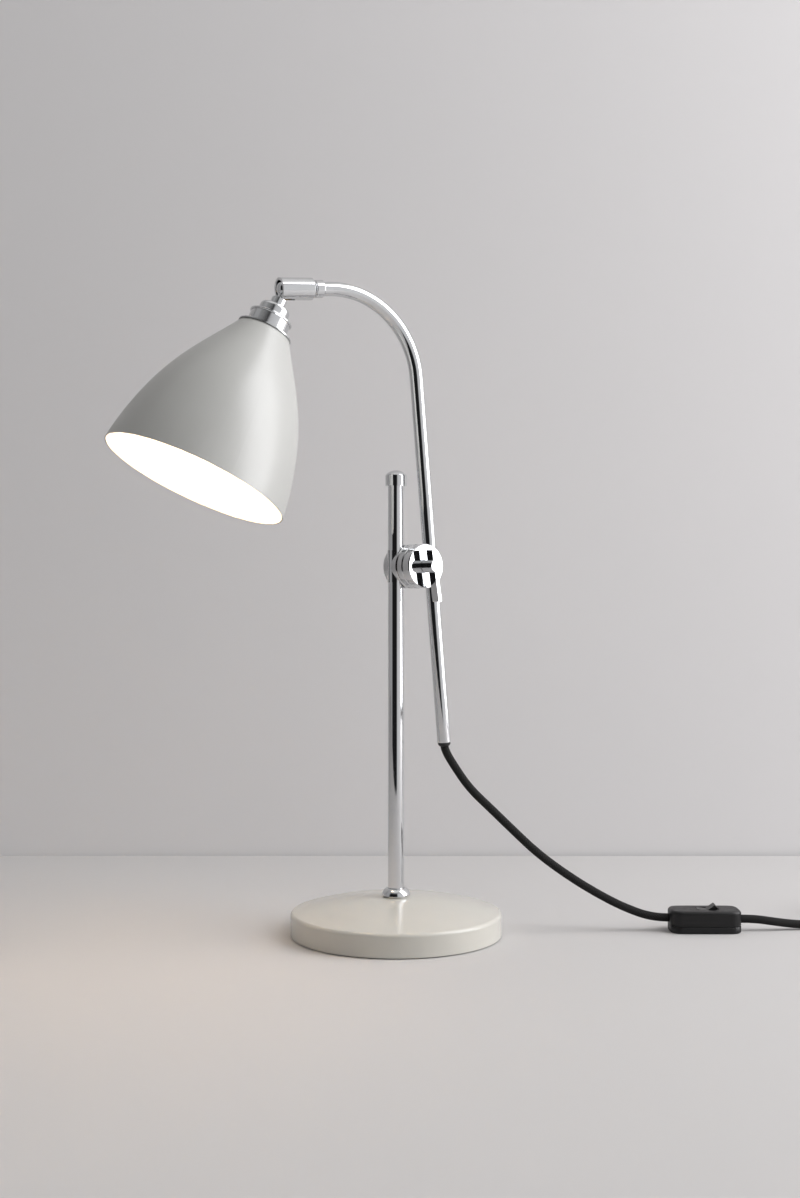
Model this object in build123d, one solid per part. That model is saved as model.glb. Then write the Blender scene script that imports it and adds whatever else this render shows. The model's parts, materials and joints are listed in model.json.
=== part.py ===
from build123d import *
import math
import os

# Task lamp: a weighted round base, a column, a twin clamp and a bent arm that carries a bell shade.
# Sizes are in millimetres and degrees. +Z is up, the origin is the centre of the base's underside,
# +X runs to the side where the switch lies and +Y away from someone who sits in front of the lamp.

# Fits shared by all pieces
FIT = 0.05  # radial running clearance of pieces that turn or slide on each other
SEAT = 0.10  # gap between pieces that are fastened to each other
PLAY = 0.30  # gap between faces that pass each other in use

# Base
BASE_D = 165.0
BASE_FOOT = 0.8  # height of the cover's lower edge
BASE_RIM = 18.0  # height where the rim turns into the dome
BASE_APEX = 30.0  # height of the dome at the column
BASE_EDGE = 3.0  # rounding between rim and dome
BASE_WALL = 1.6
PAD_T = 1.5
PAD_INSET = 4.0
WEIGHT_T = 11.0
WEIGHT_BOSS_D = 40.0
WEIGHT_POCKET_D = 30.0
WEIGHT_POCKET_H = 7.0

# Column and its fixings
COLUMN_D = 12.7
COLUMN_WALL = 1.5
COLUMN_TOP = 358.0
COLLAR_D = 22.0
COLLAR_H = 6.5
COLLAR_LIP = 1.2  # height of its widest part
COLLAR_EDGE = 0.8
COLLAR_BULGE_H = 4.0
CAP_D = 16.8
CAP_H = 12.4
CAP_DEPTH = 7.0  # how far the column reaches into the cap
CAP_SIDE = 8.4  # height where the side turns into the dome
CAP_EDGE = 2.5
NUT_ACROSS_FLATS = 19.0
NUT_H = 3.5
WASHER_D = 26.0
WASHER_T = 1.4

# Twin clamp: two pairs of discs on one bolt, the rear pair on the column and the front pair on the arm
CLAMP_Z = 288.0
CLAMP_YAW = 38.0  # turn of the bolt about the column, away from the front
CLAMP_D = 34.5
CLAMP_EDGE = 0.7
CLAMP_GAP = 1.2  # open gap between the two discs of a pair
COLUMN_OFFSET = 10.5  # from the bolt's axis to the column's axis
ARM_OFFSET = 11.0  # from the bolt's axis to the arm's axis
REAR_DISC_T = 7.6
COLUMN_DISC_T = 8.0
FRICTION_T = 0.7
FRICTION_INSET = 0.7
ARM_DISC_T = 6.6
FRONT_DISC_T = 7.3
HEEL_DEPTH = 4.5
LINER_WALL = 0.5
LINER_LENGTH = 25.0
LINER_SLIT = 1.0
BOLT_D = 6.0
BOLT_HEAD_D = 15.0
BOLT_HEAD_H = 3.4
BOLT_HEAD_SIDE = 1.2
BOLT_HEAD_EDGE = 0.6

# Wing lever on the bolt
LEVER_LEAN = 9.5
LEVER_HUB_D = 10.4
LEVER_HUB_H = 12.0
LEVER_THREAD = 9.0  # depth of the bolt in the hub
LEVER_STANDOFF = 4.3
LEVER_BLADE_W = 3.0
LEVER_BLADE_H = 7.5
LEVER_SHORT = 12.7
LEVER_LONG = 28.0

# Arm
ARM_D = 10.8
ARM_WALL = 1.2
ARM_TILT = 5.6  # lean of the straight stem
ARM_ROLL = 9.0  # turn of the bend about the stem
ARM_BELOW = 140.0  # stem below the bolt
ARM_ABOVE = 146.2  # stem above the bolt, up to the bend
ARM_BEND_R = 68.0
FLEX_D = 6.5
BUSH_FLANGE_D = 10.0
BUSH_FLANGE_H = 3.0
BUSH_TAPER = 1.0
BUSH_DEPTH = 12.0

# Ferrule, socket and ball at the arm's end
FERRULE_START = 7.6  # from the end of the bend
FERRULE_L = 7.3
FERRULE_D = 13.4
FERRULE_ROUND = 0.8
SOCKET_D = 16.8
SOCKET_BORE_D = 13.0
SOCKET_L = 28.0
SOCKET_WALL_L = 7.5  # thickness of the rear wall that turns on the arm
SOCKET_CHAMFER = 2.0
SOCKET_MOUTH = 4.6  # from the ball's centre to the mouth
SLOT_W = 6.0
SLOT_BEHIND = 7.5  # how far the slot runs behind the ball's centre
RETAINER_D = 12.4
RETAINER_T = 1.4
SPRING_H = 2.2
SPRING_T = 0.8
BALL_D = 12.4

# Stem and lampholder, measured down the shade's axis from the ball's centre
HEAD_ANGLE = 58.4  # between the socket's axis and the shade's axis
STEM_D = 5.2
STEM_BORE_D = 3.2
NECK_START = 9.5
NECK_D = 11.6
NECK_L = 6.1
SPIGOT_D = 9.6
SPIGOT_L = 6.4
HOLDER_CAP_D = 23.0
HOLDER_CAP_L = 8.8
HOLDER_CAP_ROUND = 2.8
HOLDER_CAP_WALL = 1.6
FLANGE_D = 33.0
FLANGE_T = 1.8
SKIRT_D = 31.0
SKIRT_WALL = 1.2
SKIRT_L = 34.0
SKIRT_SHOWN = 9.9  # length between the flange and the seating ring
CORE_L = 29.0
CORE_FLOOR = 10.0
SEAT_RING_D = 42.0
SEAT_RING_T = 0.9
SHADE_NUT_D = 37.0
SHADE_NUT_H = 4.0

# Shade: outer radius against distance from its top
SHADE_L = 123.2
SHADE_WALL = 1.0
SHADE_TOP_R = 20.0
SHADE_SHOULDER = (29.6, 16.0)
SHADE_FLANK = (39.5, 32.0)
SHADE_BELLY = (52.1, 56.0)
SHADE_SKIRT = (63.1, 88.0)
SHADE_MOUTH_R = 69.6

# Golf-ball bulb on a small screw cap
BULB_D = 45.0
BULB_WALL = 0.9
BULB_LENGTH = 78.0
BULB_CAP_D = 13.8
BULB_CAP_L = 18.0
BULB_CAP_T = 1.0
BULB_CAP_SHOULDER = 3.0
BULB_CAP_SKIRT = 3.0  # length of the glass inside the cap's rim
BULB_TIP_D = 8.0
BULB_TIP_L = 1.6

# In-line rocker switch
SWITCH_X = 216.0  # left end
SWITCH_Y = 12.5  # centre line
SWITCH_L = 56.0
SWITCH_W = 27.0
SWITCH_H = 17.5
SWITCH_SEAM = 5.4
SWITCH_CORNER = 5.0
SWITCH_EDGE = 2.4
SWITCH_WALL = 1.8
SWITCH_FOOT_EDGE = 1.0
ROCKER_X = 246.4
ROCKER_L = 14.2
ROCKER_W = 9.0
ROCKER_THROW = 15.0  # lean to each side of the middle
ROCKER_PIVOT_Z = 14.2
ROCKER_END_H = 5.5  # height of its ends over the pivot
ROCKER_MID_H = 3.0
ROCKER_SHOULDER_H = 2.0
ROCKER_KEEL = 3.0
ROCKER_WINDOW_L = 17.4
ROCKER_PIN_D = 2.4
ROCKER_CHEEK_T = 2.0
SCREW_HEAD_D = 5.0
SCREW_HEAD_T = 1.6
SCREW_D = 2.6
SCREW_L = 6.0
SCREW_INSET = 8.0
CONTACT_SIZE = (9.0, 6.0, 5.0)
CONTACT_SPACING = 15.0

# Free cord: hand-chosen routes of its centre line, from the arm to the plug
CORD_D = 6.5
CORD_ARC_SHARE = 0.45  # share of the shorter run that an arc takes
DROP_ROUTE = [
    (38.14, 8.74, 146.46),
    (38.72, 9.19, 139.0),
    (42.5, 9.8, 129.8),
    (52.0, 10.2, 118.0),
    (67.0, 10.7, 103.6),
    (88.0, 11.0, 82.5),
    (112.0, 11.3, 61.0),
    (138.0, 11.7, 42.3),
    (161.0, 12.1, 28.0),
    (181.0, 12.4, 17.5),
    (203.0, 12.5, 10.4),
    (216.0, 12.5, 10.4),
]
LEAD_ROUTE = [
    (272.0, 12.5, 9.4),
    (284.0, 12.5, 9.4),
    (301.0, 13.8, 6.6),
    (320.0, 17.0, 3.8),
    (345.0, 19.3, 3.5),
    (376.0, 20.0, 4.45),
    (400.5, 20.0, 4.45),
]
TAIL_ROUTE = [
    (413.5, 20.0, 11.45),
    (424.0, 20.0, 11.45),
    (439.0, 16.8, 11.2),
    (451.0, 8.5, 10.8),
    (458.5, -4.0, 10.4),
    (461.0, -18.0, 10.2),
    (461.0, -30.0, 10.2),
]

# Coil of the spare cord, in two layers
COIL_X = 407.0
COIL_Y = 20.0  # front of the outer turn
COIL_INNER_R = 26.5
COIL_GAP = 0.5
COIL_HALF_TURNS = 6  # in the lower layer, before the climb
COIL_LIFT = 1.2
COIL_SAMPLES = 24  # points on each half turn for measuring its own gap
TIE_T = 1.0
TIE_W = 8.0
TIE_SLACK = 1.3
TIE_HEADROOM = 0.2
TIE_CORNER = 1.5

# Plug with three flat pins, lying on its cover
PLUG_X = 461.0
PLUG_Y = -30.0  # face where the cord enters
PLUG_CORD_Z = 10.2
PLUG_L = 49.0
PLUG_W = 49.0
PLUG_TAIL_W = 27.0
PLUG_CORNER = 5.0
PLUG_COVER_H = 14.0
PLUG_BASE_H = 8.0
PLUG_WALL = 2.2
PLUG_EDGE = 2.0
PIN_PITCH = 22.2  # between the two line pins, and from them to the earth pin
PIN_LINE = (6.4, 4.0, 17.7)
PIN_EARTH = (4.0, 8.0, 22.7)
PIN_ROOT = 4.0
PIN_LINE_FROM_CORD = 13.5
PLUG_SCREW_D = 7.0
PLUG_SCREW_H = 10.0
PLUG_SCREW_AT = 25.0
FUSE_D = 6.3
FUSE_L = 25.4
FUSE_FROM_CORD = 18.0
FUSE_ASIDE = 14.0  # from the plug's middle

# Values worked out from the sizes above
BASE_R = BASE_D / 2
COLUMN_R = COLUMN_D / 2
ARM_R = ARM_D / 2
CLAMP_R = CLAMP_D / 2
CORD_R = CORD_D / 2
CUT = 200.0  # longer than any piece that is cut

REAR_DISC = (-CLAMP_GAP / 2 - REAR_DISC_T, -CLAMP_GAP / 2)
COLUMN_DISC = (CLAMP_GAP / 2, CLAMP_GAP / 2 + COLUMN_DISC_T)
FRICTION_WASHER = (COLUMN_DISC[1], COLUMN_DISC[1] + FRICTION_T)
ARM_DISC = (FRICTION_WASHER[1] + SEAT, FRICTION_WASHER[1] + SEAT + ARM_DISC_T)
ARM_LEVEL = ARM_DISC[1] + CLAMP_GAP / 2  # distance of the arm's axis in front of the column's
FRONT_DISC = (ARM_DISC[1] + CLAMP_GAP, ARM_DISC[1] + CLAMP_GAP + FRONT_DISC_T)
LEVER_FOOT = FRONT_DISC[1] + PLAY
COLUMN_LINER_R = COLUMN_R + FIT + LINER_WALL
ARM_LINER_R = ARM_R + FIT + LINER_WALL

SOCKET_START = FERRULE_START + FERRULE_L + PLAY
BALL_AT = SOCKET_START + SOCKET_L - SOCKET_MOUTH  # ball's centre, from the end of the bend
SOCKET_REAR = SOCKET_MOUTH - SOCKET_L  # socket's rear face, from the ball's centre
RETAINER_AT = SOCKET_START + SOCKET_WALL_L + PLAY
ARM_TAIL = RETAINER_AT + RETAINER_T  # straight end of the arm after the bend
SPRING_REAR = ARM_TAIL - BALL_AT + PLAY  # spring's rear face, from the ball's centre
CUP_REAR = SPRING_REAR + SPRING_H + SEAT

HOLDER_CAP_AT = NECK_START + NECK_L
FLANGE_AT = HOLDER_CAP_AT + HOLDER_CAP_L
SKIRT_AT = FLANGE_AT + FLANGE_T
SEAT_RING_AT = SKIRT_AT + SKIRT_SHOWN
SHADE_AT = SEAT_RING_AT + SEAT_RING_T
CORE_R = SKIRT_D / 2 - SKIRT_WALL - SEAT
BULB_AT = SKIRT_AT + CORE_FLOOR + SEAT

# Frames: each keeps the z axis on its own bolt, socket or shade axis
YAW = math.radians(CLAMP_YAW)
CLAMP = Plane(
    origin=(COLUMN_OFFSET * math.cos(YAW), COLUMN_OFFSET * math.sin(YAW), CLAMP_Z),
    x_dir=(math.cos(YAW), math.sin(YAW), 0),
    z_dir=(math.sin(YAW), -math.cos(YAW), 0),
).location
ARM_CLAMP = CLAMP * Rotation(0, 0, ARM_TILT)
ARM = ARM_CLAMP * Location((ARM_OFFSET, 0, ARM_LEVEL)) * Rotation(0, 180 - ARM_ROLL, 0)
SOCKET = ARM * Location((ARM_BEND_R + BALL_AT, ARM_ABOVE + ARM_BEND_R, 0)) * Rotation(0, 90, 0)
HEAD = SOCKET * Rotation(HEAD_ANGLE, 0, 0)
UPRIGHT = Rotation(-90, 0, 0)  # turns a piece made along z so that it stands along y
PLUG = Location((PLUG_X, PLUG_Y, 0)) * Rotation(0, 0, -90)


def turned(*edges):
    """Solid of revolution about z from edges drawn as (radius, height)."""
    return revolve(Plane.XZ * make_face(edges), Axis.Z)


def turned_outline(*points):
    """Solid of revolution about z from a closed outline of straight lines."""
    return turned(*Polyline(*points, close=True).edges())


def rod(diameter, low, high):
    """Round bar along z."""
    centred = (Align.CENTER, Align.CENTER, Align.MIN)
    return Pos(0, 0, low) * Cylinder(diameter / 2, high - low, align=centred)


def tube(bore, diameter, low, high):
    """Round tube along z."""
    return rod(diameter, low, high) - rod(bore, low, high)


def disc(diameter, low, high, edge):
    """Round disc along z with chamfered edges."""
    r = diameter / 2
    return turned_outline(
        (0, low), (r - edge, low), (r, low + edge), (r, high - edge), (r - edge, high), (0, high)
    )


def block(size_x, size_y, low, high):
    """Upright block centred on z."""
    centred = (Align.CENTER, Align.CENTER, Align.MIN)
    return Pos(0, 0, low) * Box(size_x, size_y, high - low, align=centred)


def domed_disc(radius, foot, rim, apex, edge):
    """Disc with a straight rim, a rounded edge and a shallow arched top."""
    rise = apex - rim
    arch_r = (radius**2 + rise**2) / (2 * rise)
    middle = (radius / 2, apex - arch_r + math.sqrt(arch_r**2 - radius**2 / 4))
    sides = Polyline((0, apex), (0, foot), (radius, foot), (radius, rim))
    arch = ThreePointArc((radius, rim), middle, (0, apex))
    face = make_face(sides.edges() + arch.edges())
    corner = face.vertices().sort_by_distance((radius, rim, 0))[0]
    return revolve(Plane.XZ * fillet(corner, edge), Axis.Z)


def base_cover():
    """Painted shell over the weight, open below, with a hole for the column."""
    outer = domed_disc(BASE_R, BASE_FOOT, BASE_RIM, BASE_APEX, BASE_EDGE)
    return outer - base_hollow(0) - rod(COLUMN_D + 2 * SEAT, 0, CUT)


def base_hollow(clearance):
    """Space inside the cover, drawn in by a clearance."""
    inset = BASE_WALL + clearance
    return domed_disc(BASE_R - inset, 0, BASE_RIM - inset, BASE_APEX - inset, BASE_EDGE - inset)


def base_weight():
    """Cast disc with a boss that backs the cover under the collar, and a pocket for the nut."""
    blank = rod(BASE_D, PAD_T, PAD_T + WEIGHT_T) + rod(WEIGHT_BOSS_D, PAD_T, BASE_APEX)
    pocket = rod(WEIGHT_POCKET_D, 0, PAD_T + WEIGHT_POCKET_H)
    return (blank & base_hollow(SEAT)) - pocket - rod(COLUMN_D + 2 * SEAT, 0, CUT)


def base_pad():
    """Felt disc that the lamp rests on."""
    return rod(BASE_D - 2 * PAD_INSET, 0, PAD_T)


def pocket_top():
    """Height of the roof of the weight's pocket."""
    return PAD_T + WEIGHT_POCKET_H


def column_washer():
    """Washer between the weight and the nut."""
    return tube(COLUMN_D + 2 * SEAT, WASHER_D, pocket_top() - WASHER_T, pocket_top())


def column_nut():
    """Hexagon nut on the column's foot."""
    top = pocket_top() - WASHER_T
    hexagon = RegularPolygon(NUT_ACROSS_FLATS / 2, 6, major_radius=False)
    return Pos(0, 0, top - NUT_H) * extrude(hexagon, NUT_H) - rod(COLUMN_D + 2 * SEAT, 0, CUT)


def column():
    """Chromed tube from the nut up into the cap."""
    foot = pocket_top() - WASHER_T - NUT_H
    return tube(COLUMN_D - 2 * COLUMN_WALL, COLUMN_D, foot, COLUMN_TOP)


def column_collar():
    """Rounded bead that covers the hole in the base."""
    bore = COLUMN_R + SEAT
    widest = COLLAR_D / 2
    low = BASE_APEX
    lip = (widest, low + COLLAR_LIP)
    neck = (widest - COLLAR_H / 2, low + COLLAR_H)
    bulge = ThreePointArc(lip, (widest - COLLAR_EDGE, low + COLLAR_BULGE_H), neck)
    rest = Polyline(neck, (bore, low + COLLAR_H), (bore, low), (widest - COLLAR_EDGE, low), lip)
    return turned(bulge, *rest.edges())


def column_cap():
    """Domed cap on the column's top."""
    low = COLUMN_TOP - CAP_DEPTH
    outside = domed_disc(CAP_D / 2, low, low + CAP_SIDE, low + CAP_H, CAP_EDGE)
    return outside - rod(COLUMN_D + 2 * SEAT, low, COLUMN_TOP + SEAT)


def grooved(plate, offset, level, groove_d):
    """Clamp disc with its bolt hole and a half groove that runs along y."""
    groove = Pos(offset, -CUT / 2, level) * UPRIGHT * rod(groove_d, -CUT, CUT)
    return plate - groove - rod(BOLT_D + 2 * SEAT, -CUT, CUT)


def heel(side, low, high):
    """Segment at the rim opposite the groove, which the pair of discs tips on."""
    reach = CLAMP_R - HEEL_DEPTH
    keep = Pos(side * (reach + CLAMP_R / 2), 0, 0) * block(CLAMP_R, CLAMP_D, low, high)
    return rod(CLAMP_D - 2 * CLAMP_EDGE, low, high) & keep


def rear_clamp_disc():
    """Rear half of the column's clamp, with the heel."""
    plate = disc(CLAMP_D, *REAR_DISC, CLAMP_EDGE) + heel(1, REAR_DISC[1] - CLAMP_EDGE, COLUMN_DISC[0])
    return CLAMP * grooved(plate, -COLUMN_OFFSET, 0, 2 * (COLUMN_LINER_R + FIT))


def column_clamp_disc():
    """Front half of the column's clamp."""
    plate = disc(CLAMP_D, *COLUMN_DISC, CLAMP_EDGE)
    return CLAMP * grooved(plate, -COLUMN_OFFSET, 0, 2 * (COLUMN_LINER_R + FIT))


def friction_washer():
    """Fibre washer between the two clamps."""
    return CLAMP * tube(BOLT_D + 2 * SEAT, CLAMP_D - 2 * FRICTION_INSET, *FRICTION_WASHER)


def arm_clamp_disc():
    """Rear half of the arm's clamp, with the heel."""
    plate = disc(CLAMP_D, *ARM_DISC, CLAMP_EDGE) + heel(-1, ARM_DISC[1] - CLAMP_EDGE, FRONT_DISC[0])
    return ARM_CLAMP * grooved(plate, ARM_OFFSET, ARM_LEVEL, 2 * (ARM_LINER_R + FIT))


def front_clamp_disc():
    """Front half of the arm's clamp, with a polished face."""
    plate = disc(CLAMP_D, *FRONT_DISC, CLAMP_EDGE)
    return ARM_CLAMP * grooved(plate, ARM_OFFSET, ARM_LEVEL, 2 * (ARM_LINER_R + FIT))


def tie_bolt():
    """Bolt through both clamps, with a low domed head behind."""
    back = REAR_DISC[0]
    head = domed_disc(BOLT_HEAD_D / 2, 0, BOLT_HEAD_SIDE, BOLT_HEAD_H, BOLT_HEAD_EDGE)
    shank = rod(BOLT_D, back, LEVER_FOOT + LEVER_THREAD)
    return CLAMP * (Pos(0, 0, back) * Rotation(180, 0, 0) * head + shank)


def clamp_lever():
    """Wing nut with a hub, a short blade above and a long blade below."""
    hub = disc(LEVER_HUB_D, LEVER_FOOT, LEVER_FOOT + LEVER_HUB_H, CLAMP_EDGE)
    blade = Pos(0, (LEVER_SHORT - LEVER_LONG) / 2, 0) * extrude(
        RectangleRounded(LEVER_BLADE_W, LEVER_SHORT + LEVER_LONG, LEVER_BLADE_W / 4), LEVER_BLADE_H
    )
    wing = hub + Pos(0, 0, FRONT_DISC[1] + LEVER_STANDOFF) * blade
    thread = rod(BOLT_D + 2 * FIT, 0, LEVER_FOOT + LEVER_THREAD + PLAY)
    return CLAMP * Rotation(0, 0, LEVER_LEAN) * (wing - thread)


def split_sleeve(bore, diameter, side):
    """Thin slit sleeve that a tube slides in, standing along y."""
    sleeve = UPRIGHT * tube(bore, diameter, -LINER_LENGTH / 2, LINER_LENGTH / 2)
    return sleeve - Pos(side * diameter / 2, 0, 0) * Box(diameter, LINER_LENGTH, LINER_SLIT)


def column_liner():
    """Split sleeve between the column and its clamp."""
    sleeve = split_sleeve(COLUMN_D + 2 * FIT, 2 * COLUMN_LINER_R, -1)
    return CLAMP * Pos(-COLUMN_OFFSET, 0, 0) * sleeve


def arm_liner():
    """Split sleeve between the arm and its clamp."""
    sleeve = split_sleeve(ARM_D + 2 * FIT, 2 * ARM_LINER_R, 1)
    return ARM_CLAMP * Pos(ARM_OFFSET, 0, ARM_LEVEL) * sleeve


def arm_line(foot, tail):
    """Centre line of the arm: stem, quarter bend and tail."""
    shoulder = (0, ARM_ABOVE)
    crest = (ARM_BEND_R, ARM_ABOVE + ARM_BEND_R)
    stem = Line((0, foot), shoulder)
    bend = CenterArc((ARM_BEND_R, ARM_ABOVE), ARM_BEND_R, 180, -90)
    end = Line(crest, (crest[0] + tail, crest[1]))
    return Wire(stem.edges() + bend.edges() + end.edges())


def along_arm(diameter, foot, tail):
    """Round bar bent along the arm's centre line."""
    section = Plane(origin=(0, foot, 0), z_dir=(0, 1, 0)) * Circle(diameter / 2)
    return sweep(section, path=arm_line(foot, tail))


def arm_tube():
    """Chromed tube, straight and then bent over to the head."""
    foot = -ARM_BELOW
    return ARM * (along_arm(ARM_D, foot, ARM_TAIL) - along_arm(ARM_D - 2 * ARM_WALL, foot, ARM_TAIL))


def arm_flex():
    """Flex inside the arm, from the bush to the ball."""
    return ARM * along_arm(FLEX_D, -ARM_BELOW - BUSH_FLANGE_H, BALL_AT - BALL_D / 2 - PLAY)


def arm_end_bush():
    """Rubber bush that guides the flex out of the arm's lower end."""
    bore = FLEX_D / 2 + SEAT
    plug = ARM_R - ARM_WALL - SEAT
    flange = BUSH_FLANGE_D / 2
    bush = turned_outline(
        (bore, BUSH_DEPTH),
        (plug, BUSH_DEPTH),
        (plug, 0),
        (flange, 0),
        (flange, -BUSH_FLANGE_H / 2),
        (flange - BUSH_TAPER, -BUSH_FLANGE_H),
        (bore, -BUSH_FLANGE_H),
    )
    return ARM * Pos(0, -ARM_BELOW, 0) * UPRIGHT * bush


def arm_end(piece):
    """Place a piece made along z on the arm's tail, measured from the end of the bend."""
    return ARM * Pos(ARM_BEND_R, ARM_ABOVE + ARM_BEND_R, 0) * Rotation(0, 90, 0) * piece


def arm_ferrule():
    """Collar on the arm that the socket turns against."""
    collar = disc(FERRULE_D, FERRULE_START, FERRULE_START + FERRULE_L, FERRULE_ROUND)
    return arm_end(collar - rod(ARM_D + 2 * SEAT, 0, CUT))


def arm_retainer():
    """Ring on the arm's end that keeps the socket on."""
    return arm_end(tube(ARM_D + 2 * SEAT, RETAINER_D, RETAINER_AT, ARM_TAIL))


def socket_tube():
    """Tube that turns on the arm's end, open at the mouth, with a slot below for the stem."""
    rear = SOCKET_REAR
    r = SOCKET_D / 2
    chamfer = SOCKET_CHAMFER
    body = turned_outline(
        (ARM_R + FIT, rear),
        (r - chamfer, rear),
        (r, rear + chamfer),
        (r, SOCKET_MOUTH),
        (SOCKET_BORE_D / 2, SOCKET_MOUTH),
        (SOCKET_BORE_D / 2, rear + SOCKET_WALL_L),
        (ARM_R + FIT, rear + SOCKET_WALL_L),
    )
    round_end = Pos(0, 0, -SLOT_BEHIND + SLOT_W / 2) * Rotation(90, 0, 0) * rod(SLOT_W, 0, SOCKET_D)
    length = SOCKET_MOUTH + SLOT_BEHIND - SLOT_W / 2
    straight = Pos(0, -SOCKET_D / 2, SOCKET_MOUTH - length / 2) * Box(SLOT_W, SOCKET_D, length)
    return SOCKET * (body - round_end - straight)


def socket_spring():
    """Dished spring washer that presses the cup on the ball."""
    low = SPRING_REAR
    high = SPRING_REAR + SPRING_H
    inner = FLEX_D / 2 + SEAT
    outer = SOCKET_BORE_D / 2 - SEAT
    return SOCKET * turned_outline(
        (outer, low), (outer, low + SPRING_T), (inner, high), (inner, high - SPRING_T)
    )


def ball_cup():
    """Hollowed pad behind the ball."""
    pad = tube(FLEX_D + 2 * SEAT, SOCKET_BORE_D - 2 * SEAT, CUP_REAR, -BALL_D / 4)
    return SOCKET * (pad - Sphere(BALL_D / 2 + FIT))


def ball_stem():
    """Ball, thin stem, neck and the spigot that carries the lampholder, bored for the flex."""
    r = NECK_D / 2
    neck_end = NECK_START + NECK_L
    neck = turned_outline(
        (0, NECK_START),
        (r, NECK_START),
        (r, neck_end),
        (SPIGOT_D / 2, neck_end),
        (SPIGOT_D / 2, neck_end + SPIGOT_L),
        (0, neck_end + SPIGOT_L),
    )
    solid = Sphere(BALL_D / 2) + rod(STEM_D, 0, NECK_START) + neck
    return HEAD * (solid - rod(STEM_BORE_D, -CUT, CUT))


def head_flex():
    """Flex through the stem to the lampholder."""
    return HEAD * rod(STEM_BORE_D - 2 * SEAT, -BALL_D / 4, SKIRT_AT)


def lampholder_cap():
    """Domed cap of the lampholder, hollow below."""
    low = HOLDER_CAP_AT
    high = FLANGE_AT
    r = HOLDER_CAP_D / 2
    turn = HOLDER_CAP_ROUND
    inner = r - HOLDER_CAP_WALL
    lean = turn * (1 - math.sqrt(0.5))
    corner = ThreePointArc((r - turn, low), (r - lean, low + lean), (r, low + turn))
    sides = Polyline((r, low + turn), (r, high), (0, high), (0, low), (r - turn, low))
    dome = turned(corner, *sides.edges())
    hollow = rod(2 * inner, neck_thread_end() + SEAT, high)
    return HEAD * (dome - hollow - rod(SPIGOT_D + 2 * SEAT, low, high))


def neck_thread_end():
    """Depth at which the lampholder cap's thread ends and its hollow begins."""
    return HOLDER_CAP_AT + HOLDER_CAP_L / 2


def lampholder_flange():
    """Thin ring between the cap and the skirt."""
    edge = FLANGE_T / 3
    plate = disc(FLANGE_D, FLANGE_AT, FLANGE_AT + FLANGE_T, edge)
    return HEAD * (plate - rod(SPIGOT_D + 2 * SEAT, 0, CUT))


def lampholder_skirt():
    """Threaded skirt that carries the shade."""
    return HEAD * tube(SKIRT_D - 2 * SKIRT_WALL, SKIRT_D, SKIRT_AT, SKIRT_AT + SKIRT_L)


def lampholder_core():
    """Insulating core with the well for the bulb's cap."""
    body = rod(2 * CORE_R, SKIRT_AT + SEAT, SKIRT_AT + CORE_L)
    well = rod(BULB_CAP_D + 4 * SEAT, SKIRT_AT + CORE_FLOOR, CUT)
    return HEAD * (body - well)


def shade_seat_ring():
    """Thin ring on the skirt that the shade's top is pressed against."""
    return HEAD * tube(SKIRT_D + 2 * SEAT, SEAT_RING_D, SEAT_RING_AT, SHADE_AT)


def shade_nut():
    """Ring nut inside the shade."""
    low = SHADE_AT + SHADE_WALL
    edge = SHADE_NUT_H / 4
    return HEAD * (disc(SHADE_NUT_D, low, low + SHADE_NUT_H, edge) - rod(SKIRT_D + 2 * SEAT, 0, CUT))


def bell(inset, top):
    """Solid bell under the shade's flank, drawn in by a wall."""
    mouth = (SHADE_MOUTH_R, SHADE_L)
    stations = (SHADE_SHOULDER, SHADE_FLANK, SHADE_BELLY, SHADE_SKIRT, mouth)
    flank = [(SHADE_TOP_R - inset, top)] + [(r - inset, z) for r, z in stations]
    curve = Spline(*flank)
    rest = Polyline(flank[-1], (0, SHADE_L), (0, top), flank[0])
    return turned(curve, *rest.edges())


def shade():
    """Spun bell shade with a flat top and an open mouth."""
    shell = bell(0, 0) - bell(SHADE_WALL, SHADE_WALL)
    return HEAD * Pos(0, 0, SHADE_AT) * (shell - rod(SKIRT_D + 2 * SEAT, -CUT, CUT))


def bulb_body(inset):
    """Outline of the bulb's glass: a neck that runs straight into a ball."""
    r = BULB_D / 2 - inset
    stub = BULB_CAP_D / 2 - BULB_CAP_T - inset
    throat = BULB_TIP_L + BULB_CAP_L
    foot = throat - BULB_CAP_SKIRT
    centre = BULB_LENGTH - BULB_D / 2
    drop = centre - throat
    turn = math.acos(r / math.hypot(stub, drop)) - math.atan2(drop, stub)
    join = (r * math.cos(turn), centre + r * math.sin(turn))
    ball = ThreePointArc(join, (r, centre), (0, centre + r))
    rest = Polyline((0, centre + r), (0, foot), (stub, foot), (stub, throat), join)
    return turned(ball, *rest.edges())


def bulb_glass():
    """Frosted glass envelope, open at its neck."""
    return HEAD * Pos(0, 0, BULB_AT) * (bulb_body(0) - bulb_body(BULB_WALL))


def bulb_cap():
    """Screw cap of the bulb."""
    low = BULB_TIP_L
    high = BULB_TIP_L + BULB_CAP_L
    r = BULB_CAP_D / 2
    turn = BULB_CAP_SHOULDER
    shell = turned_outline((0, low), (r - turn, low), (r, low + turn), (r, high), (0, high))
    well = rod(2 * (r - BULB_CAP_T + SEAT), high - BULB_CAP_SKIRT - SEAT, high)
    return HEAD * Pos(0, 0, BULB_AT) * (shell - well)


def bulb_contact():
    """Contact at the foot of the bulb's cap."""
    return HEAD * Pos(0, 0, BULB_AT) * rod(BULB_TIP_D, 0, BULB_TIP_L)


def switch_place():
    """Middle of the switch on the table."""
    return Location((SWITCH_X + SWITCH_L / 2, SWITCH_Y, 0))


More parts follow.
